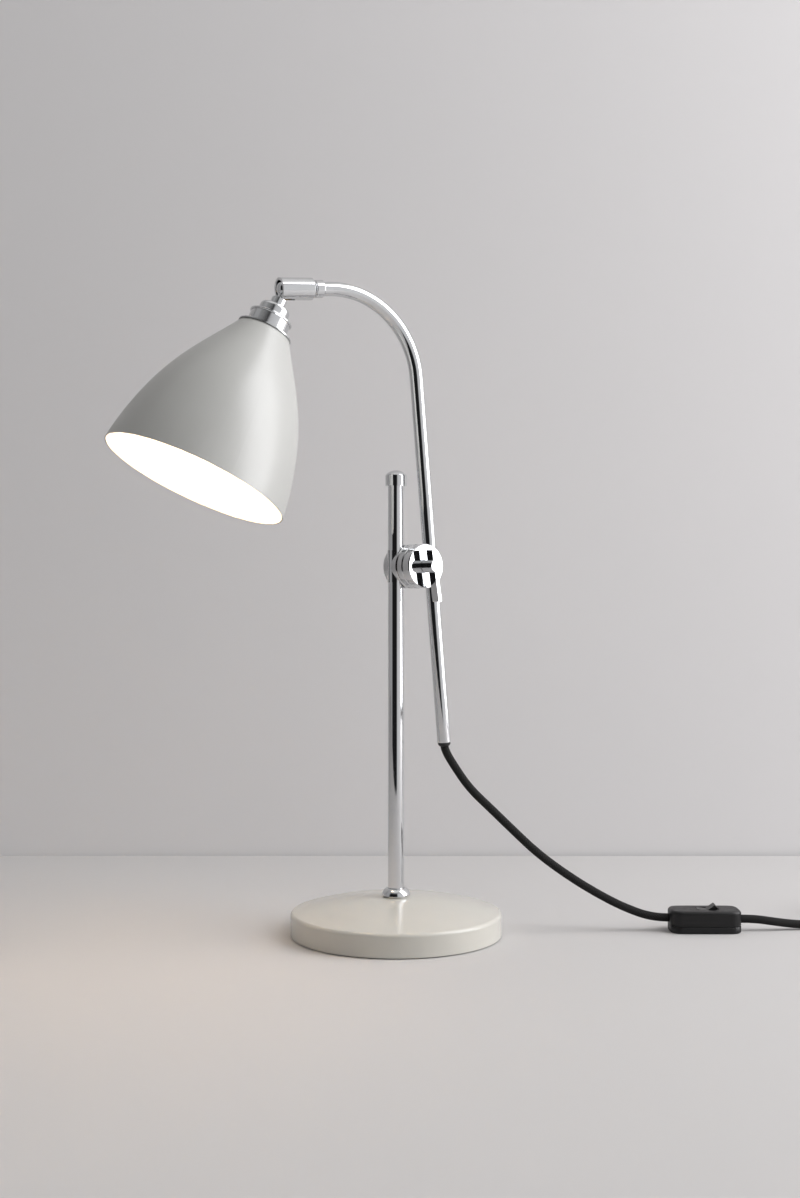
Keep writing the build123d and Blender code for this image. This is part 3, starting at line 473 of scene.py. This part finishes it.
@dataclass
class Studio:
    """Camera, lamps, table and wall.

    Attributes:
        camera_at: the camera's place.
        lens_mm: its focal length.
        table_front: where the table ends for reflections, in front of the camera's view.
        table_back: where it ends in front of the wall.
        wall_gap: gap between the table and the wall.
        wall_foot: height of the wall's lower edge.
        reach: how far both run to the sides.
        table_colour: the table's paint.
        wall_colour: the wall's paint.
        paint_gloss: roughness and specular level of both paints.
        softboxes: a large lamp on the right and a weak one overhead.
        room: brightness round about, by the angle in degrees from the camera's side, to the right.
        ceiling: brightness overhead.
        ceiling_from: share of straight up at which the ceiling starts, and at which it is full.
        backdrop: what the camera itself sees past the table and the wall.
    """

    camera_at: Point = (0.0031, -1.161, 0.2625)
    lens_mm: float = 44.54
    table_front: float = -0.85
    table_back: float = 0.353
    wall_gap: float = 0.006
    wall_foot: float = -0.2
    reach: float = 3.0
    table_colour: str = "#c6c4c3"
    wall_colour: str = "#e1dfdf"
    paint_gloss: tuple[float, float] = (0.75, 0.25)
    softboxes: tuple[Softbox, ...] = (
        Softbox("softbox_right", (1.55, -0.12, 1.12), (0.0, 0.0, 0.4), (1.5, 2.4), 46.0, "#fdfdff"),
        Softbox("softbox_top", (0.1, -0.2, 2.1), (0.0, 0.0, 0.0), (2.4, 2.0), 6.0, "#fffdfa"),
    )
    room: tuple[tuple[float, str], ...] = (
        (-180, "#a2a2a3"), (-60, "#a2a2a3"), (-50, "#1e1e1f"), (8, "#1e1e1f"),
        (18, "#cfcfd0"), (50, "#e4e4e5"), (180, "#d8d8d9"),
    )
    ceiling: str = "#b0b0b0"
    ceiling_from: tuple[float, float] = (0.5, 0.8)
    backdrop: str = "#c4c2c2"

    def build(self) -> None:
        """Makes the stage, in the order camera, lamps, table and wall."""
        scene = bpy.context.scene
        scene.view_settings.view_transform = "Standard"
        self.camera(scene)
        for softbox in self.softboxes:
            softbox.build()
        self.dim_room(scene)
        self.table_and_wall()

    def camera(self, scene: bpy.types.Scene) -> None:
        """Puts a level camera in front of the lamp.

        Args:
            scene: the scene that looks through it.
        """
        data = bpy.data.cameras.new("camera")
        data.lens = self.lens_mm
        camera = add_object("camera", data)
        camera.location = self.camera_at
        camera.rotation_euler = (math.radians(90), 0, 0)
        scene.camera = camera

    def dim_room(self, scene: bpy.types.Scene) -> None:
        """Puts a dim room round the lamp: dark behind the camera, paler to the sides and above.

        Args:
            scene: the scene that gets the world.
        """
        world = bpy.data.worlds.new("dim_room")
        world.use_nodes = True
        scene.world = world
        tree = world.node_tree
        way = add_node(tree, "ShaderNodeTexCoord").outputs["Generated"]
        right, back, up = add_node(tree, "ShaderNodeSeparateXYZ", {0: way}).outputs
        front = add_node(tree, "ShaderNodeMath", {0: back, 1: -1.0}, operation="MULTIPLY").outputs[0]
        angle = add_node(tree, "ShaderNodeMath", {0: right, 1: front}, operation="ARCTAN2").outputs[0]
        share, high = (
            add_node(
                tree, "ShaderNodeMapRange", {"Value": value, "From Min": start, "From Max": end}
            ).outputs[0]
            for value, (start, end) in ((angle, (-math.pi, math.pi)), (up, self.ceiling_from))
        )
        round_about = add_node(tree, "ShaderNodeValToRGB", {"Fac": share})
        stops = round_about.color_ramp.elements
        stops[0].color, stops[1].color = linear(self.room[0][1]), linear(self.room[-1][1])
        for degrees, colour in self.room[1:-1]:
            stops.new(degrees / 360 + 0.5).color = linear(colour)
        glow = round_about.outputs[0]
        seen = add_node(tree, "ShaderNodeLightPath").outputs["Is Camera Ray"]
        for part, colour in ((high, self.ceiling), (seen, self.backdrop)):
            glow = mix(tree, part, glow, linear(colour))
        tree.links.new(glow, tree.nodes["Background"].inputs["Color"])

    def sheet(self, name: str, corners: Sequence[Point], material: bpy.types.Material) -> bpy.types.Object:
        """Adds one flat sheet of the stage.

        Args:
            name: the sheet's name.
            corners: its corners, so that its face looks to the lamp.
            material: its material.

        Returns:
            The sheet.
        """
        mesh = bpy.data.meshes.new(name)
        mesh.from_pydata(corners, [], [tuple(range(len(corners)))])
        mesh.materials.append(material)
        piece = add_object(name, mesh)
        return piece

    def matt(self, name: str, colour: str, seen: Seen) -> bpy.types.Material:
        """Makes a matt paint for the stage.

        Args:
            name: the material's name.
            colour: its colour.
            seen: what sees it; it is clear to the rest.

        Returns:
            The material.
        """
        made = bpy.data.materials.new(name)
        made.use_nodes = True
        tree = made.node_tree
        shader = tree.nodes["Principled BSDF"]
        shader.inputs["Base Color"].default_value = linear(colour)
        for socket, value in zip(("Roughness", "Specular IOR Level"), self.paint_gloss):
            shader.inputs[socket].default_value = value
        if seen is not Seen.BY_ALL:
            paint, clear = shader.outputs[0], add_node(tree, "ShaderNodeBsdfTransparent").outputs[0]
            if seen is Seen.FROM_FRONT:
                back = add_node(tree, "ShaderNodeNewGeometry").outputs["Backfacing"]
                mixed = add_node(tree, "ShaderNodeMixShader", {0: back, 1: paint, 2: clear})
            else:
                camera = add_node(tree, "ShaderNodeLightPath").outputs["Is Camera Ray"]
                mixed = add_node(tree, "ShaderNodeMixShader", {0: camera, 1: clear, 2: paint})
            tree.links.new(mixed.outputs[0], tree.nodes["Material Output"].inputs["Surface"])
        return made

    def table_and_wall(self) -> None:
        """Adds the pale table and the wall behind its far edge."""
        r, f, y = self.reach, self.table_front, self.table_back
        for name, near, far, seen in (("table", f, y, Seen.BY_ALL), ("table_front", -r, f, Seen.BY_CAMERA)):
            paint = self.matt(f"{name}_paint", self.table_colour, seen)
            self.sheet(name, [(-r, near, 0), (r, near, 0), (r, far, 0), (-r, far, 0)], paint)
        y += self.wall_gap
        paint = self.matt("wall_paint", self.wall_colour, Seen.FROM_FRONT)
        foot = self.wall_foot
        self.sheet("wall", [(-r, y, foot), (r, y, foot), (r, y, r), (-r, y, r)], paint)


@dataclass(frozen=True)
class Bend:
    """A length of the flex across one joint, with the bodies and way of a bend that the script doesn't make.

    Attributes:
        lower: the body that its end towards the switch goes with; not used.
        upper: the body that its end towards the arm goes with; not used.
        way: direction in which it changes from the lower to the upper body, square to the joint's motion; not
            used.
        tuck: length at its upper end; it only trims a line that is not used.
    """

    lower: str
    upper: str
    way: Point
    tuck: float


class FlexBend(Enum):
    """The joints that the hanging flex crosses, from the arm's lower end to the switch."""

    ARM_SLIDE = Bend("arm_clamp", "arm_liner", (-0.95, 0.0, 0.3), 8 * MM)
    ARM_TILT = Bend("clamp", "arm_clamp", (-0.27, 0.0, 0.96), 3 * MM)
    CLAMP_HEIGHT = Bend("column", "clamp", (-1.0, 0.0, 0.0), 3 * MM)
    CLAMP_TURN = Bend("stand", "column", (-1.0, 0.0, 0.0), 3 * MM)


def millimetres(*points: Point) -> list[Point]:
    """Turns points in millimetres into metres.

    Args:
        points: the points in millimetres.

    Returns:
        The points in metres.
    """
    return [(x * MM, y * MM, z * MM) for x, y, z in points]


def length_of(line: Sequence[Vector]) -> float:
    """Measures a line.

    Args:
        line: the line's points.

    Returns:
        Its length.
    """
    return sum((b - a).length for a, b in zip(line, line[1:]))


def capture(tree: Tree, curve: Socket, kind: str, value: Socket) -> tuple[Socket, Socket]:
    """Keeps a value of a curve's points for the mesh made from it.

    Args:
        tree: the geometry node tree.
        curve: the curve.
        kind: the value's type.
        value: the value.

    Returns:
        The curve and the kept value.
    """
    node = add_node(tree, "GeometryNodeCaptureAttribute")
    node.capture_items.new(kind, "Kept")
    for socket, given in zip(node.inputs, (curve, value)):
        tree.links.new(given, socket)
    return node.outputs[0], node.outputs[1]


@dataclass
class Flex:
    """The braided flex: a hanging part in four lengths, and the part from the switch to the plug.

    Attributes:
        diameter: the flex's diameter.
        sides: corners of the tube's ring.
        ring_step: gap between two rings.
        tuck: length at a stretch's lower end; it only trims a line that is not used.
        drop: route from the arm's lower end to the switch.
        cuts: where the four stretches begin along it.
        lead: route from the switch to the coil.
        coil_at: where the coil begins.
        coil_core: radius of its smallest half turn.
        coil_step: how much a half turn grows.
        coil_layer: how far the coil climbs between its two layers.
        coil_turns: steps that each half turn has grown by.
        half_turn_points: control points of a half turn.
        tail: route from the coil to the plug.
        spline_order: order of the routes' splines.
        spline_steps: steps between two control points.
    """

    diameter: float = 6.5 * MM
    sides: int = 20
    ring_step: float = 1.25 * MM
    tuck: float = 3 * MM
    drop: list[Point] = field(
        default_factory=lambda: millimetres(
            (38.14, 8.74, 146.46), (38.9, 8.95, 142.6), (44.9, 9.5, 132.2), (57.6, 10.2, 113.3),
            (75.2, 10.7, 96.5), (89.5, 11, 82.6), (112.1, 11.3, 61), (138, 11.7, 42.3),
            (161, 12.1, 28.4), (181, 12.4, 18.2), (203, 12.5, 10.4), (216, 12.5, 10.4),
        )
    )
    cuts: tuple[float, ...] = (0.0, 42 * MM, 100 * MM, 170 * MM)
    lead: list[Point] = field(
        default_factory=lambda: millimetres(
            (272, 12.5, 9.4), (284, 12.5, 9.4), (301, 13.8, 6.6), (320, 17, 3.8),
            (345, 19.3, 3.5), (376, 20, 4.45), (400.5, 20, 4.45),
        )
    )
    coil_at: Point = (407 * MM, 20 * MM, 4.45 * MM)
    coil_core: float = 26.5 * MM
    coil_step: float = 3.5 * MM
    coil_layer: float = 7 * MM
    coil_turns: tuple[int, ...] = (6, 5, 4, 3, 2, 1, 0, 1, 2, 3, 4, 5)
    half_turn_points: int = 8
    tail: list[Point] = field(
        default_factory=lambda: millimetres(
            (413.5, 20, 11.45), (424, 20, 11.45), (439, 16.8, 11.2), (451, 8.5, 10.8),
            (458.5, -4, 10.4), (461, -18, 10.2), (461, -30, 10.2),
        )
    )
    spline_order: int = 3
    spline_steps: int = 12

    def coil(self) -> list[Point]:
        """Lays the put-away coil: half turns that shrink, climb a layer and grow again.

        Returns:
            The coil's points.
        """
        x, y, z = self.coil_at
        points = []
        side = 1
        for count in self.coil_turns:
            radius = self.coil_core + self.coil_step * count
            climb = self.coil_layer if count == 0 else 0.0
            for i in range(self.half_turn_points):
                share = i / self.half_turn_points
                angle = math.pi * share
                out, on = radius * math.sin(angle), radius * (1 - math.cos(angle))
                points.append((x + side * out, y + side * on, z + climb * share))
            y += side * 2 * radius
            z += climb
            side = -side
        return points + [(x, y, z)]

    def route(self, name: str, points: Sequence[Point]) -> bpy.types.Object:
        """Makes the flex's line as a smooth spline.

        Args:
            name: the curve's name.
            points: the spline's control points.

        Returns:
            The curve, with no thickness.
        """
        data = bpy.data.curves.new(name, "CURVE")
        data.dimensions = "3D"
        data.resolution_u = self.spline_steps
        spline = data.splines.new("NURBS")
        spline.points.add(len(points) - 1)
        for place, point in zip(spline.points, points):
            place.co = (*point, 1.0)
        spline.order_u = self.spline_order
        spline.use_endpoint_u = True
        return add_object(name, data)

    def line(self, curve: bpy.types.Object) -> list[Vector]:
        """Reads the points of a route's own line.

        Args:
            curve: the route.

        Returns:
            Its points, from the first to the last.
        """
        mesh = plain_mesh(curve)
        points = [v.co.copy() for v in mesh.vertices]
        bpy.data.meshes.remove(mesh)
        return points

    def stretch(self, line: Sequence[Vector], start: float, end: float) -> list[Vector]:
        """Cuts a stretch from a line.

        Args:
            line: the line's points.
            start: where the stretch begins along the line.
            end: where it ends.

        Returns:
            The stretch's points.
        """
        cut, at = [], 0.0
        for one, two in zip(line, line[1:]):
            step = (two - one).length
            for mark in (start, end):
                if at <= mark < at + step:
                    cut.append(one.lerp(two, (mark - at) / step))
            at += step
            if start < at < end:
                cut.append(two)
        if end >= at:
            cut.append(line[-1])
        return cut

    def tube_tree(self) -> Tree:
        """Builds the tree that turns a route into a tube with its braid attribute.

        Returns:
            The geometry node tree.
        """
        tree = bpy.data.node_groups.new("flex_tube", "GeometryNodeTree")
        face = tree.interface
        face.new_socket("Route", in_out="INPUT", socket_type="NodeSocketGeometry")
        kinds = {"Float": ("Radius", "Step", "Start", "End"), "Int": ("Sides",), "Material": ("Braid",)}
        for kind, names in kinds.items():
            for name in names:
                face.new_socket(name, in_out="INPUT", socket_type=f"NodeSocket{kind}")
        face.new_socket("Tube", in_out="OUTPUT", socket_type="NodeSocketGeometry")
        given = add_node(tree, "NodeGroupInput").outputs
        start, end = given["Start"], given["End"]
        cut = add_node(
            tree, "GeometryNodeTrimCurve", {0: given["Route"], 4: start, 5: end}, mode="LENGTH"
        ).outputs[0]
        even = add_node(
            tree, "GeometryNodeResampleCurve", {"Curve": cut, "Length": given["Step"]}, mode="LENGTH"
        ).outputs[0]
        ring = add_node(
            tree, "GeometryNodeCurvePrimitiveCircle", {"Resolution": given["Sides"], "Radius": given["Radius"]}
        ).outputs[0]
        length = add_node(tree, "GeometryNodeSplineParameter").outputs["Length"]
        place = add_node(tree, "GeometryNodeInputPosition").outputs[0]
        route, along = capture(tree, even, "FLOAT", length)
        profile, around = capture(tree, ring, "VECTOR", place)
        tube = add_node(
            tree, "GeometryNodeCurveToMesh", {"Curve": route, "Profile Curve": profile, "Fill Caps": True}
        ).outputs[0]
        across, up, _ = add_node(tree, "ShaderNodeSeparateXYZ", {0: around}).outputs
        whole = add_node(tree, "ShaderNodeMath", {0: along, 1: start}, operation="ADD").outputs[0]
        laid = add_node(tree, "ShaderNodeCombineXYZ", {0: across, 1: up, 2: whole}).outputs[0]
        kept = add_node(
            tree, "GeometryNodeStoreNamedAttribute", {"Geometry": tube, "Name": "braid", "Value": laid},
            data_type="FLOAT_VECTOR", domain="POINT",
        ).outputs[0]
        smooth = add_node(tree, "GeometryNodeSetShadeSmooth", {0: kept}).outputs[0]
        real = add_node(tree, "GeometryNodeRealizeInstances", {0: smooth}).outputs[0]
        dressed = add_node(tree, "GeometryNodeSetMaterial", {0: real, "Material": given["Braid"]}).outputs[0]
        add_node(tree, "NodeGroupOutput", {0: dressed})
        return tree

    def tube(
        self, tree: Tree, curve: bpy.types.Object, name: str, start: float, end: float
    ) -> bpy.types.Object:
        """Makes a stretch of the flex as a plain mesh.

        Args:
            tree: the tube's geometry nodes.
            curve: the route.
            name: the piece's name.
            start: where the stretch begins along the route.
            end: where it ends.

        Returns:
            The piece.
        """
        modifier = curve.modifiers.new("tube", "NODES")
        modifier.node_group = tree
        sizes = {
            "Radius": self.diameter / 2, "Step": self.ring_step, "Start": start, "End": end,
            "Sides": self.sides, "Braid": Stuff.FLEX.value.material(),
        }
        for socket in tree.interface.items_tree:
            if socket.name in sizes:
                modifier[socket.identifier] = sizes[socket.name]
        mesh = plain_mesh(curve)
        mesh.name = name
        curve.modifiers.remove(modifier)
        piece = add_object(name, mesh)
        return piece

    def hang(self, tree: Tree) -> None:
        """Makes the hanging part in four lengths, one for each joint that it crosses.

        Args:
            tree: the tube's geometry nodes.
        """
        curve = self.route("drop_route", self.drop)
        line = self.line(curve)
        length = length_of(line)
        ends = [*self.cuts[1:], length]
        for joint, start, end in zip(FlexBend, self.cuts, ends):
            name = f"flex_{joint.name.lower()}"
            bend = joint.value
            piece = self.tube(tree, curve, name, start, end)
            path = self.stretch(line, start, end)
            inner = self.stretch(line, start + bend.tuck, end - self.tuck)
            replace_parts(piece, "cord_drop")
            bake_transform(piece)
            LOG.info("%s: %.1f mm", name, (end - start) / MM)
        bpy.data.objects.remove(curve)

    def lay(self, tree: Tree) -> None:
        """Makes the part that lies on the table, with its coil, up to the plug.

        Args:
            tree: the tube's geometry nodes.
        """
        curve = self.route("lead_route", [*self.lead, *self.coil(), *self.tail])
        line = self.line(curve)
        length = length_of(line)
        piece = self.tube(tree, curve, "flex_lead", 0.0, length)
        bpy.data.objects.remove(curve)
        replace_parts(piece, "cord_lead", "cord_coil", "cord_tail")
        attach(piece, "stand")
        LOG.info("flex_lead: %.1f mm", length / MM)

    def build(self, frame: dict[str, Any]) -> None:
        """Makes the whole flex, and dresses its tie and its hidden parts.

        Args:
            frame: the loaded frame.
        """
        tree = self.tube_tree()
        self.hang(tree)
        self.lay(tree)
        Stuff.RUBBER.dress(frame, "cord_tie")
        Stuff.CORE_PVC.dress(frame, "arm_flex", "head_flex")


@dataclass
class Base:
    """The weighted base with its felt.

    Attributes:
        segments: corners of the felt's edge.
        tufts: small waves round the edge.
        swells: waves that the small ones rise and fall in.
        tuft_reach: how far a wave reaches.
        edge_round: how far the edge draws in at its top and bottom.
        edge_rows: where the edge stands full, as shares of the felt's thickness.
    """

    segments: int = 240
    tufts: int = 57
    swells: int = 11
    tuft_reach: float = 0.15 * MM
    edge_round: float = 0.6 * MM
    edge_rows: tuple[float, float] = (0.3, 0.7)

    def felt(self) -> None:
        """Makes the felt pad, with a soft, slightly uneven cut edge."""
        low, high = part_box("base_pad")
        radius, thick = (high[0] - low[0]) / 2 - self.tuft_reach, high[2] - low[2]
        drawn_in = radius - self.edge_round
        full = [(radius, low[2] + share * thick) for share in self.edge_rows]
        rows = [(drawn_in, low[2]), *full, (drawn_in, high[2])]
        points = [(0.0, 0.0, low[2]), (0.0, 0.0, high[2])]
        for row, (reach, z) in enumerate(rows):
            for i in range(self.segments):
                angle = 2 * math.pi * i / self.segments
                tuft = self.tuft_reach * math.sin(self.tufts * angle + row)
                r = reach + tuft * math.sin(self.swells * angle + 2 * row)
                points.append((r * math.cos(angle), r * math.sin(angle), z))
        n, last = self.segments, 2 + (len(rows) - 1) * self.segments
        faces = []
        for i in range(n):
            j = (i + 1) % n
            faces.append((0, 2 + j, 2 + i))
            faces.extend((k + i, k + j, k + n + j, k + n + i) for k in range(2, last, n))
            faces.append((1, last + i, last + j))
        mesh = bpy.data.meshes.new("felt_pad")
        mesh.from_pydata(points, [], faces)
        mesh.materials.append(Stuff.FELT.value.material())
        mesh.shade_smooth()
        pad = add_object("felt_pad", mesh)
        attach(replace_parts(pad, "base_pad"), "stand")
        LOG.info("felt_pad: %d faces", len(faces))

    def build(self, frame: dict[str, Any]) -> None:
        """Dresses the base and makes its felt.

        Args:
            frame: the loaded frame.
        """
        Stuff.BASE_ENAMEL.dress(frame, "base_cover")
        Stuff.IRON.dress(frame, "base_weight")
        self.felt()


@dataclass
class Column:
    """The column with its collar, cap and hidden fixings."""

    def build(self, frame: dict[str, Any]) -> None:
        """Dresses the column.

        Args:
            frame: the loaded frame.
        """
        Stuff.CHROME.dress(frame, "column", "column_collar", "column_cap")
        Stuff.STEEL.dress(frame, "column_washer", "column_nut")


@dataclass
class Clamp:
    """The twin clamp with its sleeves, washer, bolt and lever."""

    def build(self, frame: dict[str, Any]) -> None:
        """Dresses the clamp.

        Args:
            frame: the loaded frame.
        """
        Stuff.CHROME.dress(frame, "front_clamp_disc", "clamp_lever", "tie_bolt", "column_liner", "arm_liner")
        Stuff.CHROME_SOFT.dress(frame, "rear_clamp_disc", "column_clamp_disc", "arm_clamp_disc")
        Stuff.FIBRE.dress(frame, "friction_washer")


@dataclass
class Arm:
    """The bent arm with its end pieces and the ball's socket."""

    def build(self, frame: dict[str, Any]) -> None:
        """Dresses the arm.

        Args:
            frame: the loaded frame.
        """
        Stuff.CHROME.dress(frame, "arm_tube", "arm_ferrule", "socket_tube")
        Stuff.RUBBER.dress(frame, "arm_end_bush")
        Stuff.STEEL.dress(frame, "arm_retainer", "socket_spring")
        Stuff.BRASS.dress(frame, "ball_cup")


@dataclass
class Head:
    """The ball's stem, the lampholder, the shade and the bulb."""

    def build(self, frame: dict[str, Any]) -> None:
        """Dresses the head.

        Args:
            frame: the loaded frame.
        """
        Stuff.CHROME.dress(frame, "ball_stem")
        Stuff.CHROME_SOFT.dress(
            frame, "lampholder_cap", "lampholder_flange", "lampholder_skirt", "shade_seat_ring", "shade_nut"
        )
        Stuff.PORCELAIN.dress(frame, "lampholder_core")
        Stuff.SHADE_ENAMEL.dress(frame, "shade")
        Stuff.BULB.dress(frame, "bulb_glass")
        Stuff.CAP_ALUMINIUM.dress(frame, "bulb_cap")
        Stuff.BRASS.dress(frame, "bulb_contact")


@dataclass
class SwitchAndPlug:
    """The in-line switch and the plug.

    Attributes:
        corner: rounding of the moulded case, seen from above.
        solid_corner: rounding of the plain solid there.
        bands: steps across a rounding.
        seam: depth and half height of the groove between the case's halves.
        weld: points nearer than this are one.
        sharp_degrees: edges that turn more than this stay sharp.
    """

    corner: float = 9 * MM
    solid_corner: float = 5 * MM
    bands: int = 8
    seam: float = 0.4 * MM
    weld: float = 0.001 * MM
    sharp_degrees: float = 30.0

    def edge_reach(self, u: float, v: float) -> float:
        """Measures how far the plain solid's edge is from the middle of a rounding.

        Args:
            u: offset along the case from the rounding's middle.
            v: offset across the case.

        Returns:
            The distance to the edge in that direction.
        """
        reach, flat = math.hypot(u, v), self.corner - self.solid_corner
        if self.corner * min(u, v) <= flat * max(u, v):
            return self.corner * reach / max(u, v)
        both = flat * (u + v) / reach
        return both + math.sqrt(both**2 - 2 * flat**2 + self.solid_corner**2)

    def moulded(self, frame: dict[str, Any], node: str, seam_z: float) -> None:
        """Makes one half of the case with fuller corners than its solid, and half of the seam's groove.

        Args:
            frame: the loaded frame.
            node: the half's CAD node.
            seam_z: height of its face at the seam.
        """
        low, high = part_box(node)
        middle = [(a + b) / 2 for a, b in zip(low, high)]
        half = [(b - a) / 2 for a, b in zip(low, high)]
        inwards = 1 if seam_z < middle[2] else -1
        work = bmesh.new()
        work.from_mesh(frame["nodes"][node].data)
        bmesh.ops.remove_doubles(work, verts=work.verts, dist=self.weld)
        planes = [(2, seam_z + inwards * self.seam)]
        for step in range(self.bands + 1):
            inset = self.corner * step / self.bands
            for axis in (0, 1):
                planes.extend((axis, middle[axis] + side * (half[axis] - inset)) for side in (-1, 1))
        for axis, at in planes:
            normal = Vector([float(axis == i) for i in range(3)])
            geometry = [*work.verts, *work.edges, *work.faces]
            bmesh.ops.bisect_plane(
                work, geom=geometry, dist=self.weld / 2, plane_co=normal * at, plane_no=normal
            )
        near = self.seam / 4
        for vert in work.verts:
            out = [abs(vert.co[i] - middle[i]) for i in (0, 1)]
            u, v = (out[i] - half[i] + self.corner for i in (0, 1))
            rim = max(u, v)
            if u > 0 and v > 0:
                scale = self.corner / self.edge_reach(u, v)
                rim = math.hypot(u, v) * scale
                for i, offset in ((0, u), (1, v)):
                    out[i] = half[i] - self.corner + offset * scale
            if abs(vert.co[2] - seam_z) < near and rim > self.corner - near:
                out = [part * (1 - self.seam / size) for part, size in zip(out, half)]
            for i in (0, 1):
                vert.co[i] = middle[i] + math.copysign(out[i], vert.co[i] - middle[i])
        mesh = bpy.data.meshes.new(f"{node}_moulded")
        work.to_mesh(mesh)
        work.free()
        mesh.materials.append(Stuff.SWITCH_ABS.value.material())
        mesh.shade_smooth()
        mesh.set_sharp_from_angle(angle=math.radians(self.sharp_degrees))
        piece = add_object(mesh.name, mesh)
        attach(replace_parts(piece, node), "stand")
        LOG.info("%s: %d faces", mesh.name, len(mesh.polygons))

    def build(self, frame: dict[str, Any]) -> None:
        """Dresses the switch and the plug.

        Args:
            frame: the loaded frame.
        """
        self.moulded(frame, "switch_cover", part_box("switch_cover")[0][2])
        self.moulded(frame, "switch_base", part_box("switch_base")[1][2])
        Stuff.ROCKER_ABS.dress(frame, "switch_rocker")
        Stuff.STEEL.dress(frame, "switch_screws", "plug_screw")
        Stuff.BRASS.dress(frame, "switch_contacts", "plug_line_pins", "plug_earth_pin")
        Stuff.PLUG_UREA.dress(frame, "plug_cover", "plug_base")
        Stuff.PORCELAIN.dress(frame, "plug_fuse")


def main() -> None:
    """Builds the stage and the lamp."""
    logging.basicConfig(level=logging.INFO, format="%(message)s")
    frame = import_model()
    Studio().build()
    for assembly in (Flex(), Base(), Column(), Clamp(), Arm(), Head(), SwitchAndPlug()):
        assembly.build(frame)
        LOG.info("%s done", type(assembly).__name__)


if __name__ == "__main__":
    main()
